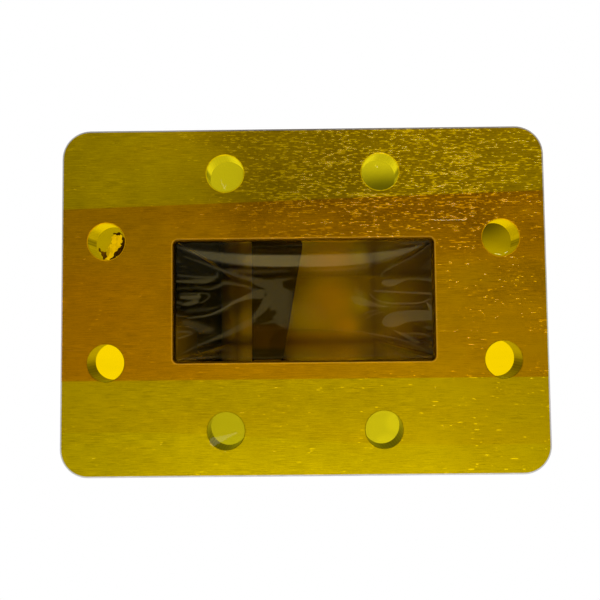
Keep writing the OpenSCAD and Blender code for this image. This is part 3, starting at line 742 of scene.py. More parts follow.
# Folds of the film inside the mouth, in the order in which they lie over each other: gloss,
# softness of the edge, and a line of places with half widths, in millimetres from the middle
FOLDS = [
    # the taut middle and the fainter part to its right
    (0.2, 1.2, [(-1.4, -1.2, 1.0), (0.6, -1.8, 1.6), (2.4, -2.3, 2.0), (3.0, -2.8, 1.4)]),
    (0.85, 0.5, [(-8.8, 3.3, 0.5), (-6.8, 2.7, 1.1), (-5.6, 2.2, 1.6), (-4.5, 1.2, 2.1),
                 (-4.2, -1.0, 2.1), (-4.0, -2.6, 1.9), (-3.7, -3.6, 1.3)]),
    (0.7, 0.5, [(-5.0, 3.5, 0.5), (-3.6, 3.7, 0.35), (-2.2, 3.9, 0.15)]),
    (0.6, 0.6, [(-3.2, -4.2, 0.7), (-2.5, -4.4, 0.55), (-2.4, -1.0, 0.4), (-2.3, 1.5, 0.3)]),
    (0.04, 0.5, [(-3.1, 2.9, 0.75), (-2.2, 3.0, 0.85)]),
    (0.03, 0.3, [(-14.0, 4.75, 0.1), (-10.0, 4.6, 0.12), (-6.0, 4.4, 0.14), (-2.0, 4.6, 0.14),
                 (1.0, 5.0, 0.1)]),
    # from the upper left corner down to the middle
    (0.4, 0.4, [(-14.0, 5.7, 0.2), (-11.0, 5.4, 0.4), (-8.0, 5.2, 0.4), (-3.0, 5.4, 0.2)]),
    (0.8, 0.25, [(-21.8, 8.2, 0.06), (-18.5, 7.0, 0.12), (-16.0, 6.0, 0.18), (-14.0, 5.3, 0.24),
                 (-12.0, 4.6, 0.3), (-10.0, 4.0, 0.42), (-8.0, 3.5, 0.6)]),
    (0.02, 0.3, [(-15.0, 5.0, 0.1), (-12.0, 3.85, 0.25), (-10.0, 3.1, 0.28), (-8.2, 2.35, 0.22),
                 (-7.2, 2.1, 0.1)]),
    # left end
    (0.5, 0.25, [(-23.7, 7.4, 0.35), (-22.7, 7.3, 0.2)]),
    (0.35, 0.25, [(-23.7, 5.6, 0.3), (-23.3, 5.5, 0.2)]),
    (0.7, 0.2, [(-22.9, 4.8, 0.12), (-20.0, 4.4, 0.17), (-17.0, 4.3, 0.18), (-15.7, 4.5, 0.25),
                (-15.9, 5.2, 0.1)]),
    (0.72, 0.22, [(-23.6, 3.65, 0.18), (-21.0, 3.6, 0.26), (-19.0, 3.65, 0.42), (-17.6, 3.7, 0.45),
                  (-16.4, 4.1, 0.2)]),
    (0.25, 0.25, [(-23.2, 2.3, 0.25), (-20.6, 2.5, 0.2), (-18.6, 2.2, 0.1)]),
    (0.55, 0.3, [(-20.0, 2.75, 0.08), (-18.0, 2.25, 0.14), (-17.0, 2.2, 0.16), (-16.0, 2.55, 0.22),
                 (-15.0, 3.1, 0.28), (-14.0, 3.3, 0.3), (-12.5, 3.1, 0.24), (-11.0, 2.75, 0.2),
                 (-10.0, 2.35, 0.25), (-9.0, 1.9, 0.4), (-8.0, 1.3, 0.6)]),
    (0.6, 0.2, [(-22.4, 1.35, 0.1), (-20.0, 1.4, 0.1), (-18.0, 1.45, 0.12), (-17.3, 1.2, 0.14),
                (-17.3, 0.7, 0.14), (-17.8, 0.2, 0.12), (-18.8, -0.3, 0.1)]),
    (0.85, 0.2, [(-22.4, 0.75, 0.28), (-20.6, 0.65, 0.42), (-19.2, 0.8, 0.38)]),
    (0.75, 0.25, [(-22.0, -0.55, 0.2), (-20.8, -0.4, 0.4), (-19.6, 0.0, 0.4)]),
    (0.45, 0.2, [(-23.4, -0.2, 0.22), (-22.4, -0.3, 0.26)]),
    (0.55, 0.2, [(-23.7, -1.0, 0.14), (-22.9, -1.1, 0.12)]),
    (0.4, 0.2, [(-23.7, 1.9, 0.12), (-23.3, 1.0, 0.15), (-23.5, 0.2, 0.1)]),
    (0.28, 0.5, [(-21.4, -1.8, 0.25), (-19.0, -1.6, 0.4), (-17.0, -1.4, 0.3), (-15.9, -1.1, 0.1)]),
    (0.4, 0.25, [(-23.7, -2.3, 0.12), (-22.6, -2.8, 0.16), (-21.6, -2.6, 0.1)]),
    # the long fold that runs up into the middle, and the loop below it
    (0.5, 0.16, [(-16.2, -1.25, 0.06), (-14.5, -0.45, 0.1), (-12.8, 0.1, 0.1)]),
    (0.35, 0.18, [(-16.0, -2.4, 0.06), (-14.0, -1.5, 0.08), (-12.0, -1.05, 0.08), (-10.3, -0.95, 0.1),
                  (-9.7, -1.4, 0.14), (-9.9, -2.3, 0.16), (-11.2, -3.2, 0.12), (-13.0, -3.9, 0.08)]),
    (1.0, 0.2, [(-21.2, -3.05, 0.06), (-19.0, -2.85, 0.12), (-17.5, -2.65, 0.14), (-16.0, -2.1, 0.17),
                (-14.5, -1.3, 0.19), (-13.5, -0.7, 0.2), (-12.5, -0.1, 0.28), (-11.5, 0.25, 0.34),
                (-10.5, 0.6, 0.42), (-9.4, 1.0, 0.6), (-8.0, 1.2, 0.9)]),
    (0.02, 0.2, [(-12.5, -0.55, 0.05), (-10.6, -0.35, 0.08), (-9.4, -0.5, 0.3), (-8.6, -0.7, 0.5),
                 (-8.0, -0.5, 0.4)]),
    (0.03, 0.3, [(-9.3, -1.4, 0.35), (-9.0, -2.0, 0.2)]),
    # from the lower left corner up to the middle
    (0.4, 0.7, [(-21.6, -3.9, 0.45), (-20.2, -4.4, 0.8), (-18.6, -5.0, 0.8), (-17.0, -5.3, 0.5)]),
    (0.3, 0.15, [(-20.5, -7.8, 0.05), (-17.0, -6.35, 0.1), (-14.0, -4.9, 0.1), (-11.5, -3.7, 0.1)]),
    (0.02, 0.15, [(-18.0, -7.05, 0.05), (-15.0, -5.55, 0.1), (-13.0, -4.5, 0.12), (-11.0, -3.4, 0.1)]),
    (0.55, 0.35, [(-22.4, -9.6, 0.06), (-20.0, -8.4, 0.14), (-18.0, -7.5, 0.22), (-16.0, -6.75, 0.32),
                  (-14.0, -5.9, 0.45), (-12.0, -5.0, 0.55), (-10.0, -4.0, 0.6), (-9.2, -3.5, 0.5)]),
    (0.95, 0.35, [(-9.3, -3.2, 0.35), (-8.4, -2.4, 0.55), (-7.4, -1.3, 0.7), (-6.6, 0.0, 0.9)]),
    (0.12, 0.45, [(-8.5, -4.4, 0.3), (-7.3, -3.3, 0.55), (-6.2, -2.6, 0.6), (-5.4, -2.2, 0.45)]),
    (0.65, 0.3, [(-7.8, -4.25, 0.08), (-6.2, -3.95, 0.22), (-5.0, -3.7, 0.4)]),
    (0.03, 0.2, [(-9.6, -4.9, 0.15), (-7.5, -4.75, 0.14), (-4.4, -4.6, 0.08)]),
    (0.65, 0.2, [(-23.6, -5.6, 0.13), (-22.0, -5.5, 0.15), (-20.7, -5.6, 0.18)]),
    (0.45, 0.3, [(-23.0, -6.7, 0.2), (-21.5, -6.35, 0.22), (-20.3, -5.9, 0.12)]),
    (0.02, 0.16, [(-22.4, -5.95, 0.06), (-20.9, -5.9, 0.08)]),
    (0.02, 0.2, [(-20.1, -5.6, 0.08), (-19.6, -6.3, 0.14), (-19.8, -7.0, 0.08)]),
    (0.35, 0.25, [(-23.7, -9.5, 0.15), (-23.2, -8.7, 0.1)]),
    # right end, from the top
    (0.35, 0.35, [(2.0, 5.45, 0.2), (6.0, 5.45, 0.35), (9.0, 5.55, 0.35), (12.0, 6.15, 0.2)]),
    (0.45, 0.2, [(12.0, 6.3, 0.12), (14.0, 6.75, 0.16), (16.0, 7.4, 0.16), (18.0, 8.15, 0.13),
                 (20.0, 8.9, 0.1), (22.0, 9.85, 0.08)]),
    (0.5, 0.2, [(15.0, 4.05, 0.06), (14.2, 4.2, 0.12), (14.5, 4.95, 0.16), (15.5, 5.6, 0.16),
                (16.6, 6.1, 0.16), (18.0, 6.65, 0.18), (19.5, 7.3, 0.16), (21.0, 8.2, 0.14),
                (22.3, 9.2, 0.12), (23.4, 10.1, 0.08)]),
    (0.35, 0.25, [(23.6, 9.1, 0.25), (23.1, 8.3, 0.12)]),
    (0.5, 0.2, [(23.6, 7.0, 0.18), (22.8, 6.7, 0.14), (22.2, 6.15, 0.1)]),
    (0.45, 0.2, [(21.2, 5.7, 0.1), (22.5, 5.6, 0.14), (23.6, 5.6, 0.12)]),
    (0.62, 0.25, [(14.7, 3.1, 0.4), (15.5, 2.95, 0.68), (16.5, 3.0, 0.6), (17.6, 3.3, 0.3),
                  (18.8, 3.55, 0.08)]),
    (0.55, 0.2, [(18.6, 3.8, 0.08), (20.5, 3.65, 0.13), (22.5, 3.6, 0.16), (23.3, 3.3, 0.25)]),
    (0.6, 0.2, [(13.0, 1.6, 0.16), (14.5, 1.45, 0.18), (16.0, 1.35, 0.16), (18.0, 1.25, 0.13),
                (20.0, 1.1, 0.18), (22.0, 1.05, 0.18), (23.2, 0.9, 0.16), (23.5, 0.4, 0.12)]),
    (0.25, 0.6, [(9.7, 1.8, 0.5), (10.3, 1.2, 0.6)]),
    (0.5, 0.4, [(9.0, 0.2, 0.45), (10.0, -0.2, 0.85), (11.2, -0.6, 0.65), (12.5, -0.9, 0.4),
                (14.0, -1.2, 0.25), (15.6, -1.4, 0.1)]),
    (0.6, 0.18, [(12.1, 1.1, 0.08), (12.6, 0.35, 0.1), (13.5, -0.25, 0.1), (14.8, -0.6, 0.1),
                 (16.5, -0.8, 0.12), (19.0, -0.85, 0.14), (21.0, -0.8, 0.14), (22.3, -0.4, 0.13),
                 (23.3, 0.1, 0.16)]),
    (0.4, 0.18, [(16.0, -1.5, 0.06), (19.0, -1.4, 0.08), (21.5, -1.4, 0.08)]),
    (1.0, 0.25, [(22.5, -0.8, 0.12), (23.0, -1.5, 0.28), (23.4, -2.5, 0.12)]),
    (0.25, 0.25, [(8.5, -1.8, 0.12), (8.8, -2.9, 0.14), (9.7, -3.7, 0.12)]),
    (0.35, 0.2, [(10.4, -3.3, 0.1), (11.0, -2.6, 0.13), (12.0, -2.2, 0.13), (13.6, -2.0, 0.1)]),
    (0.35, 0.2, [(11.2, -3.8, 0.1), (12.0, -3.1, 0.13), (13.0, -2.6, 0.13), (14.6, -2.3, 0.08)]),
    # the shell-shaped fold
    (0.6, 0.3, [(15.0, -4.2, 0.75), (15.6, -3.9, 1.15), (16.6, -3.7, 1.35), (17.6, -3.35, 1.2),
                (19.0, -3.05, 1.0), (21.5, -3.0, 0.92), (23.6, -3.0, 0.85)]),
    (0.35, 0.14, [(16.8, -2.25, 0.04), (15.7, -2.8, 0.05), (15.1, -3.6, 0.05), (15.3, -4.6, 0.04)]),
    (0.38, 0.14, [(17.6, -2.3, 0.04), (16.3, -2.9, 0.05), (15.8, -3.7, 0.05), (16.2, -4.6, 0.04)]),
    (0.42, 0.14, [(18.4, -2.4, 0.04), (17.0, -3.0, 0.05), (16.6, -3.7, 0.05), (17.0, -4.4, 0.04)]),
    # lower right
    (0.5, 0.25, [(16.4, -5.7, 0.08), (17.6, -6.2, 0.2), (18.8, -6.8, 0.36), (19.8, -7.4, 0.36),
                 (20.8, -8.0, 0.16)]),
    (0.4, 0.25, [(18.0, -6.2, 0.1), (20.0, -6.3, 0.16), (22.0, -6.4, 0.2), (23.0, -7.2, 0.18),
                 (23.6, -8.6, 0.12)]),
    (0.4, 0.3, [(22.2, -5.1, 0.25), (23.0, -5.3, 0.3)]),
    (0.5, 0.2, [(4.0, -5.4, 0.08), (7.0, -5.5, 0.12), (10.0, -5.75, 0.1), (12.0, -6.2, 0.1),
                (14.0, -6.6, 0.1), (15.5, -6.9, 0.13), (17.0, -7.25, 0.12), (19.0, -7.9, 0.13),
                (21.0, -8.75, 0.12), (22.5, -9.5, 0.1), (23.6, -10.2, 0.1)]),
    (0.3, 0.16, [(-10.5, -5.6, 0.08), (-7.0, -5.3, 0.08), (-3.0, -5.2, 0.08), (1.0, -5.15, 0.06)]),
    (0.45, 0.2, [(21.8, -7.8, 0.08), (22.9, -9.1, 0.1), (23.6, -9.8, 0.08)]),
    # along the lower long edge
    (0.22, 0.3, [(-20.0, -9.2, 0.1), (-14.0, -8.7, 0.2), (-9.0, -9.6, 0.12)]),
    (0.25, 0.3, [(-12.0, -9.6, 0.08), (-8.0, -9.4, 0.14), (-3.0, -9.7, 0.08)]),
    (0.2, 0.3, [(6.0, -8.7, 0.1), (10.0, -8.6, 0.2), (14.0, -9.1, 0.1)]),
    (0.45, 0.2, [(-22.8, -10.6, 0.14), (-19.0, -10.3, 0.14), (-15.0, -10.1, 0.1), (-10.0, -10.4, 0.12),
                 (-6.0, -10.45, 0.13), (-3.0, -10.2, 0.13), (0.0, -10.05, 0.11), (6.0, -10.1, 0.08),
                 (14.0, -10.2, 0.08), (16.0, -10.0, 0.1), (16.7, -9.7, 0.1), (17.3, -10.2, 0.1),
                 (18.0, -10.6, 0.12), (20.0, -10.6, 0.2), (22.0, -10.6, 0.18), (23.0, -10.5, 0.12)]),
    # along the upper long edge
    (0.45, 0.2, [(-21.5, 10.65, 0.06), (-17.0, 10.4, 0.1), (-13.0, 10.4, 0.1), (-8.0, 10.8, 0.06)]),
    (0.28, 0.16, [(-18.0, 9.75, 0.05), (-13.0, 9.7, 0.07), (-9.0, 9.9, 0.07), (-4.0, 9.8, 0.07)]),
    (0.5, 0.16, [(-4.0, 10.0, 0.06), (-1.5, 10.05, 0.1), (1.5, 10.0, 0.1), (3.0, 9.8, 0.05)]),
    (0.25, 0.2, [(-10.0, 9.2, 0.1), (-6.0, 8.95, 0.08), (2.0, 9.1, 0.08), (7.0, 9.0, 0.2),
                 (10.0, 9.1, 0.15), (13.0, 9.3, 0.05)]),
    (0.3, 0.16, [(8.0, 10.6, 0.06), (13.0, 10.7, 0.08), (18.0, 10.6, 0.06)]),
    (0.3, 0.16, [(12.0, 9.2, 0.05), (15.0, 9.7, 0.07), (18.0, 10.0, 0.08)]),
    (0.65, 0.25, [(18.2, 10.15, 0.1), (20.0, 10.25, 0.14), (21.6, 10.3, 0.1), (23.0, 10.6, 0.08)]),
    # specks of dust and two tiny blisters
    (2.5, 0.16, [(-6.0, 7.6, 0.08)]),
    (1.6, 0.16, [(-12.65, 5.25, 0.08)]),
    (1.6, 0.16, [(-17.75, 5.05, 0.08)]),
    (1.2, 0.16, [(-14.8, 3.4, 0.07)]),
    (2.2, 0.16, [(-19.25, 1.25, 0.09)]),
    (1.6, 0.16, [(-8.5, -4.85, 0.08)]),
    (1.2, 0.16, [(18.65, 7.8, 0.08)]),
    (1.8, 0.16, [(16.25, 8.7, 0.08)]),
    (0.9, 0.16, [(21.4, -1.4, 0.08)]),
    (1.0, 0.16, [(9.9, 5.5, 0.06), (9.95, 4.9, 0.06)]),
    (0.7, 0.14, [(-22.3, 6.2, 0.04), (-22.1, 6.5, 0.04), (-21.7, 6.5, 0.04), (-21.6, 6.1, 0.04)]),
    (0.8, 0.14, [(-15.2, 1.2, 0.04), (-15.0, 0.8, 0.05), (-15.4, 0.3, 0.04)]),
]

# Painted shade of the guide seen through the film, put into how much the film lets through: its darker upper
# part with a lighter strip, the dark line of its upper corner and a dimmer zone low down: light let through,
# then as for the folds
SHADES = [
    (0.66, 1.0, [(-24.0, 8.3, 4.1), (24.0, 8.3, 4.1)]),
    (0.95, 1.2, [(-9.0, 6.8, 1.8), (10.5, 6.8, 1.8)]),
    (0.72, 0.9, [(-9.0, 4.8, 0.2), (-2.0, 4.8, 0.3), (4.0, 4.85, 0.3), (8.0, 5.0, 0.3),
                 (12.0, 5.4, 0.2)]),
    (0.85, 0.2, [(-3.5, -8.1, 2.9), (2.0, -8.1, 2.9), (7.0, -8.6, 2.9), (12.0, -9.8, 3.0)]),
]


def add_strip(name, settings, level, low_edge, high_edge, step_at=None):
    """A strip of film: a fine grid over the mouth, extruded out to the flange's outline."""
    deselect_all()
    half_x = MOUTH_HALF.x - settings.ledge
    half_y = MOUTH_HALF.y - settings.ledge
    out_x = FLANGE_HALF.x - settings.inset
    out_y = FLANGE_HALF.y - settings.inset
    bpy.ops.mesh.primitive_grid_add(
        x_subdivisions=settings.columns, y_subdivisions=settings.rows, size=1,
        location=(0, 0, FACE_Z + level))
    strip = bpy.context.object
    strip.name = strip.data.name = name
    strip.scale = (2 * half_x, 2 * half_y, 1)
    apply_place(strip)

    # out to the short ends, then to the long edges
    near = 1e-6
    for side in (-1, 1):
        bpy.ops.object.mode_set(mode="EDIT")
        select_edges(strip, lambda a, b, s=side: s * a.x > half_x - near and s * b.x > half_x - near)
        bpy.ops.mesh.extrude_region_move(
            TRANSFORM_OT_translate={"value": (side * (out_x - half_x), 0, 0)})
    select_edges(strip, lambda a, b: a.y > half_y - near and b.y > half_y - near)
    bpy.ops.mesh.extrude_region_move(TRANSFORM_OT_translate={"value": (0, out_y - half_y, 0)})
    select_edges(strip, lambda a, b: a.y < near - half_y and b.y < near - half_y)
    if step_at is None:
        bpy.ops.mesh.extrude_region_move(TRANSFORM_OT_translate={"value": (0, low_edge + half_y, 0)})
    else:
        drop = settings.clearance - level
        for move in ((0, step_at + half_y, 0), (0, -settings.step, drop),
                     (0, -out_y - step_at + settings.step, 0)):
            bpy.ops.mesh.extrude_region_move(TRANSFORM_OT_translate={"value": move})

    # round the corners that lie on the flange's corners
    bpy.ops.object.mode_set(mode="OBJECT")
    clear_selection(strip.data)
    for vertex in strip.data.vertices:
        if abs(vertex.co.x) > out_x - near and abs(vertex.co.y) > out_y - near:
            vertex.select = True
    bpy.ops.object.mode_set(mode="EDIT")
    bpy.ops.mesh.bevel(affect="VERTICES", offset_type="OFFSET", offset=settings.corner_radius, segments=14)

    # trim the turned upper edge
    if high_edge is not None:
        bpy.ops.mesh.select_all(action="SELECT")
        turn = settings.lower_turn
        bpy.ops.mesh.bisect(
            plane_co=(0, high_edge, 0), plane_no=(-math.sin(turn), math.cos(turn), 0), clear_outer=True)
    bpy.ops.object.mode_set(mode="OBJECT")
    return strip


def crease_window(strip, settings):
    """Sinks and folds the film inside the mouth, and keeps its gloss and its painted shade for the finish.
    """
    mesh = strip.data
    places = np.empty(len(mesh.vertices) * 3)
    mesh.vertices.foreach_get("co", places)
    places = places.reshape(-1, 3)
    half_x, half_y = MOUTH_HALF.x - settings.ledge, MOUTH_HALF.y - settings.ledge
    inside = (np.abs(places[:, 0]) < half_x) & (np.abs(places[:, 1]) < half_y)
    x, y = places[inside, 0] / MM, places[inside, 1] / MM
    places[inside, 2] -= film_depth(x, y) * MM
    mesh.vertices.foreach_set("co", places.ravel())
    gloss, shade = np.zeros(len(places)), np.ones(len(places))
    gloss[inside] = fold_gloss(x, y)
    shade[inside] = 1 - (1 - paint(x, y, SHADES, np.ones(x.shape))) * from_border(x, y)
    for name, values in (("gloss", gloss), ("shade", shade)):
        mesh.attributes.new(name, "FLOAT", "POINT").data.foreach_set("value", values)
    mesh.update()


# Pieces under the film in the upper left hole, a torn scrap and two dark pieces beside it: outline in
# millimetres, depth and colour
SCRAPS = [
    ("torn_scrap", [
        (-35.37, 11.89), (-34.82, 12.33), (-34.09, 12.26), (-33.55, 12.44), (-33.25, 11.97),
        (-33.36, 11.53), (-33.11, 11.24), (-33.55, 10.8), (-33.36, 10.36), (-33.98, 9.89),
        (-34.28, 9.34), (-34.82, 8.79), (-35.08, 8.25), (-35.55, 7.81), (-36.46, 7.7),
        (-36.39, 7.95), (-35.99, 8.43), (-36.17, 9.05), (-36.17, 9.71), (-35.74, 10.25),
        (-35.19, 10.62), (-35.3, 11.16), (-35.01, 11.6)], 0.06, (0.78, 0.98, 0.90, 1)),
    ("dark_piece_right", [
        (-35.01, 12.62), (-34.09, 12.81), (-33.36, 12.55), (-32.92, 11.89), (-32.74, 10.98),
        (-32.85, 10.07), (-33.25, 9.27), (-33.91, 8.43), (-34.82, 7.81), (-35.74, 7.66),
        (-35.37, 8.06), (-34.82, 8.79), (-34.09, 9.71), (-33.55, 10.44), (-33.55, 11.46),
        (-33.69, 12.19), (-34.35, 12.11)], 0.2, (0.03, 0.02, 0.015, 1)),
    ("dark_piece_left", [
        (-37.78, 10.07), (-37.49, 9.27), (-37.01, 8.5), (-36.39, 7.73), (-35.88, 8.43),
        (-36.06, 9.12), (-36.68, 9.27), (-37.27, 9.63)], 0.2, (0.10, 0.08, 0.04, 1)),
]


def ragged(outline, turns):
    """The outline with a point added in the middle of each side, pushed in or out by turns."""
    points = np.array(outline, float)
    for turn in range(turns):
        after = np.roll(points, -1, axis=0)
        side = after - points
        push = 0.22 * np.sin(np.arange(len(points)) * (2.4 + turn) + turn)[:, None]
        middle = (points + after) / 2 + push * np.stack([-side[:, 1], side[:, 0]], 1)
        points = np.stack([points, middle], 1).reshape(-1, 2)
    return points


def add_scrap(name, outline, level):
    """A small torn sheet with ragged edges."""
    deselect_all()
    points = ragged(outline, 2) * MM
    bpy.ops.mesh.primitive_circle_add(vertices=len(points), radius=MM, fill_type="NGON",
                                      location=(0, 0, level))
    piece = bpy.context.object
    piece.name = piece.data.name = name
    apply_place(piece)
    for vertex, (x, y) in zip(piece.data.vertices, points):
        vertex.co.x, vertex.co.y = x, y
    bpy.ops.object.mode_set(mode="EDIT")
    bpy.ops.mesh.select_all(action="SELECT")
    bpy.ops.mesh.extrude_region_move(TRANSFORM_OT_translate={"value": (0, 0, -0.04 * MM)})
    bpy.ops.mesh.select_all(action="SELECT")
    bpy.ops.mesh.quads_convert_to_tris()
    bpy.ops.mesh.normals_make_consistent(inside=False)
    bpy.ops.object.mode_set(mode="OBJECT")
    return piece


def give_thickness(strip, thickness):
    """Turns the single sheet into film of even thickness and smooths its folds."""
    activate(strip)
    solid = strip.modifiers.new("thickness", "SOLIDIFY")
    solid.thickness = thickness
    solid.offset = 1
    bpy.ops.object.modifier_apply(modifier="thickness")
    bpy.ops.object.shade_smooth_by_angle(angle=math.radians(40))


# Operators


class FinishMetal(bpy.types.Operator):
    """Gives the flange, tube, end plate and brazed fillets their finishes"""

    bl_idname = "load.finish_metal"
    bl_label = "Finish the metal"

    def execute(self, context):
        settings = context.scene.load_metal
        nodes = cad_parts
        give_finish(nodes["flange"], plate_finish(settings))
        give_finish(nodes["waveguide_tube"], drawn_finish(settings))
        give_finish(nodes["end_cap"], milled_finish(settings))
        braze = braze_finish(settings)
        give_finish(nodes["front_braze"], braze)
        give_finish(nodes["rear_braze"], braze)
        return {"FINISHED"}


class FinishAbsorber(bpy.types.Operator):
    """Gives the absorber and its adhesive their finishes"""

    bl_idname = "load.finish_absorber"
    bl_label = "Finish the absorber"

    def execute(self, context):
        settings = context.scene.load_absorber
        give_finish(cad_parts["absorber"], absorber_finish(settings))
        give_finish(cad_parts["absorber_bond"], resin_finish(settings))
        return {"FINISHED"}


class AddUpperStrip(bpy.types.Operator):
    """Models the strip of film that was laid first"""

    bl_idname = "load.add_upper_strip"
    bl_label = "Add the upper strip"

    def execute(self, context):
        settings = context.scene.load_film
        strip = add_strip("upper_strip", settings, settings.clearance, settings.upper_end, None)
        crease_window(strip, settings)
        give_thickness(strip, settings.thickness)
        give_finish(strip, film_finish(settings, "amber_film_upper"))
        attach(strip, "root")
        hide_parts("film_upper")
        return {"FINISHED"}


class AddLowerStrip(bpy.types.Operator):
    """Models the strip of film that was laid second, over the first"""

    bl_idname = "load.add_lower_strip"
    bl_label = "Add the lower strip"

    def execute(self, context):
        settings = context.scene.load_film
        level = 2 * settings.clearance + settings.thickness + 0.012 * MM
        strip = add_strip(
            "lower_strip", settings, level, None, settings.lower_end,
            step_at=settings.upper_end - 0.02 * MM)
        crease_window(strip, settings)
        give_thickness(strip, settings.thickness)
        give_finish(strip, film_finish(settings, "amber_film_lower"))
        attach(strip, "root")
        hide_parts("film_lower")
        return {"FINISHED"}


class AddScrap(bpy.types.Operator):
    """Models the torn scrap of film that sticks under the strips in one bolt hole"""

    bl_idname = "load.add_scrap"
    bl_label = "Add the torn scrap"

    def execute(self, context):
        for name, outline, depth, colour in SCRAPS:
            piece = add_scrap(name, outline, FACE_Z - depth * MM)
            give_finish(piece, scrap_finish(name, colour))
            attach(piece, "root")
        return {"FINISHED"}


class SetStage(bpy.types.Operator):
    """Sets the camera, the floor, the lamps and the world"""

    bl_idname = "load.set_stage"
    bl_label = "Set the stage"

    def execute(self, context):
        settings = context.scene.load_stage
        scene = context.scene
        scene.view_settings.view_transform = "Standard"
        scene.cycles.max_bounces = 24
        scene.cycles.glossy_bounces = 16
        scene.cycles.diffuse_bounces = 6
        scene.cycles.transparent_max_bounces = 48
        scene.cycles.blur_glossy = 0  # else the light that the guide's walls mirror inwards is lost

        camera = bpy.data.objects.new("camera", bpy.data.cameras.new("camera"))
        scene.collection.objects.link(camera)
        camera.location = Vector(settings.camera_place) + Vector((0, 0, FACE_Z))
        camera.rotation_euler = settings.camera_turn
        camera.data.lens = settings.camera_lens
        camera.data.sensor_width = 36
        camera.data.shift_y = settings.camera_shift
        camera.data.clip_start = 0.01
        scene.camera = camera

        deselect_all()
        bpy.ops.mesh.primitive_plane_add(size=3, location=(0, 0, 0))
        floor = context.object
        floor.name = "floor"
        give_finish(floor, floor_finish())

        add_lamp("near_box", (0, -400, 430), (220, 330), settings.near_box)
        add_lamp("far_box", (0, 400, 430), (220, 330), settings.far_box)
        add_lamp("sheen_card", (60, -225, 556), (420, 160), settings.sheen_card)
        set_world(scene, settings)
        return {"FINISHED"}


def floor_finish():
    """Pale floor, white to the camera away from the object, with the object's shadow near it."""
    material, t = new_finish("pale_floor")
    mm = t.place_mm()
    x, y, z = t.apart(mm)
    half = t.ramp(y, -20, 10, 60, 93, kind="LINEAR")
    across = t.maths("POWER", t.maths("ABSOLUTE", t.maths("DIVIDE", x, half)), 4.0)
    along = t.maths("POWER", t.maths("ABSOLUTE", t.maths("DIVIDE", t.maths("SUBTRACT", y, 3.0), 64.0)), 4.0)
    reach = t.maths("POWER", t.maths("ADD", across, along), 0.25)
    away = t.ramp(reach, 0.86, 0.95)
    path = t.add("LightPath").outputs
    mirrored = t.maths("MAXIMUM", path["Is Glossy Ray"], path["Is Transmission Ray"])
    seen = t.maths("MAXIMUM", path["Is Camera Ray"], mirrored)
    cloud = t.noise(mm, (0.25, 0.25, 0.25), detail=2, seed=2)
    shadow = 0.42
    for place, size, painted_light in SHADOWS:
        cover = t.ramp(from_patch(t, x, y, place, size, cloud, 0.5), 1.2, 0.4)
        shadow = t.maths("ADD", shadow, t.maths("MULTIPLY", cover, t.maths("SUBTRACT", painted_light, shadow)))
    fade = t.ramp(reach, 0.81, 0.94)
    shadow = t.maths("ADD", shadow, t.maths("MULTIPLY", fade, t.maths("SUBTRACT", 1.0, shadow)))
    shade = t.mix(seen, (0.86, 0.86, 0.85, 1), t.grey(shadow))
    away = t.maths("MAXIMUM", away, mirrored)
    white = t.add("Emission", {"Color": (1, 1, 1, 1), "Strength": 1.0})
    plain = t.add("BsdfDiffuse", {"Color": shade})
    both = t.add("MixShader", {0: t.maths("MULTIPLY", away, seen), 1: plain.outputs[0], 2: white.outputs[0]})
    t.finish(both.outputs[0])
    return material


# Darker and lighter parts of the object's shadow on the floor: middle, reach each way, grey
SHADOWS = [
    ((-26.5, 48.0), (20.0, 17.0), 0.61),
    ((28.5, 51.0), (20.0, 15.0), 0.70),
    ((-70.0, 25.4), (20.0, 18.0), 0.45),
    ((69.0, 25.0), (20.0, 18.0), 0.32),
    ((34.0, 39.5), (36.0, 11.0), 0.15),
    ((61.5, 32.5), (14.0, 8.5), 0.10),
    ((66.0, 17.0), (11.0, 6.5), 0.46),
    ((-27.0, -42.0), (20.0, 18.0), 0.44),
    ((27.0, -42.0), (20.0, 18.0), 0.56),
    ((31.0, -39.5), (3.6, 4.5), 0.64),
    ((28.0, -46.0), (4.5, 3.0), 0.63),
]


def add_lamp(name, place_mm, size_mm, brightness):
    """A rectangular soft lamp that faces the middle of the flange. Brightness 1 is white."""
    lamp = bpy.data.lights.new(name, "AREA")
    lamp.shape = "RECTANGLE"
    lamp.size, lamp.size_y = (length * MM for length in size_mm)
    lamp.energy = brightness * math.pi * lamp.size * lamp.size_y
    holder = bpy.data.objects.new(name, lamp)
    bpy.context.scene.collection.objects.link(holder)
    target = Vector((0, 0, FACE_Z))
    holder.location = target + Vector(place_mm) * MM
    holder.rotation_euler = (target - holder.location).to_track_quat("-Z", "Y").to_euler()
    holder.visible_camera = False


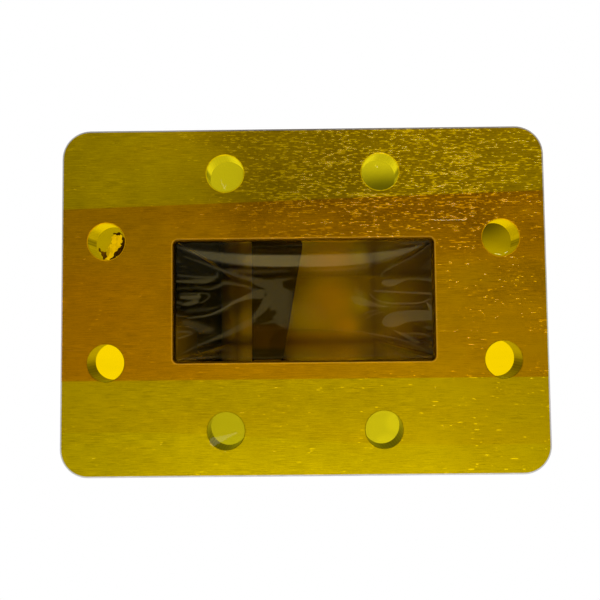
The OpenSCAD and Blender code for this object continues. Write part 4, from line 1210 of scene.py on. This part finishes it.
def set_world(scene, settings):
    """Soft light from all round, dimmer straight above."""
    world = bpy.data.worlds.new("studio")
    scene.world = world
    t = Tree(world)
    x, y, z = t.apart(t.add("TexCoord").outputs["Generated"])
    side = t.maths("SUBTRACT", settings.surround, t.maths("MULTIPLY", y, 0.55))
    light = t.ramp(z, 0.72, 0.965, side, settings.ceiling)
    path = t.add("LightPath").outputs
    strength = t.maths("MAXIMUM", light, path["Is Camera Ray"])
    back = t.add("Background", {"Color": (1, 1, 1, 1), "Strength": strength})
    output = t.add("OutputWorld")
    t.tree.links.new(back.outputs[0], output.inputs["Surface"])


class LoadPanel(bpy.types.Panel):
    """Lists the steps in the sidebar"""

    bl_idname = "VIEW3D_PT_waveguide_load"
    bl_label = "Waveguide load"
    bl_space_type = "VIEW_3D"
    bl_region_type = "UI"
    bl_category = "Waveguide load"

    def draw(self, context):
        for operator in OPERATORS:
            self.layout.operator(operator.bl_idname)
        for group in SETTINGS.values():
            box = self.layout.box()
            for name in group.__annotations__:
                box.prop(getattr(context.scene, GROUP_NAMES[group]), name)


SETTINGS = {
    "load_metal": MetalSettings,
    "load_absorber": AbsorberSettings,
    "load_film": FilmSettings,
    "load_stage": StageSettings,
}
GROUP_NAMES = {group: name for name, group in SETTINGS.items()}
OPERATORS = [FinishMetal, FinishAbsorber, AddUpperStrip, AddLowerStrip, AddScrap, SetStage]


def register():
    """Registers the settings, the steps and the panel."""
    for group in SETTINGS.values():
        bpy.utils.register_class(group)
    for name, group in SETTINGS.items():
        setattr(bpy.types.Scene, name, bpy.props.PointerProperty(type=group))
    for operator in OPERATORS:
        bpy.utils.register_class(operator)
    bpy.utils.register_class(LoadPanel)


def unregister():
    """Takes away what register adds."""
    bpy.utils.unregister_class(LoadPanel)
    for operator in reversed(OPERATORS):
        bpy.utils.unregister_class(operator)
    for name in SETTINGS:
        delattr(bpy.types.Scene, name)
    for group in reversed(list(SETTINGS.values())):
        bpy.utils.unregister_class(group)


def main():
    """Runs the steps in order."""
    register()
    bpy.ops.load.finish_metal()
    bpy.ops.load.finish_absorber()
    bpy.ops.load.add_upper_strip()
    bpy.ops.load.add_lower_strip()
    bpy.ops.load.add_scrap()
    bpy.ops.load.set_stage()


if __name__ == "__main__":
    main()
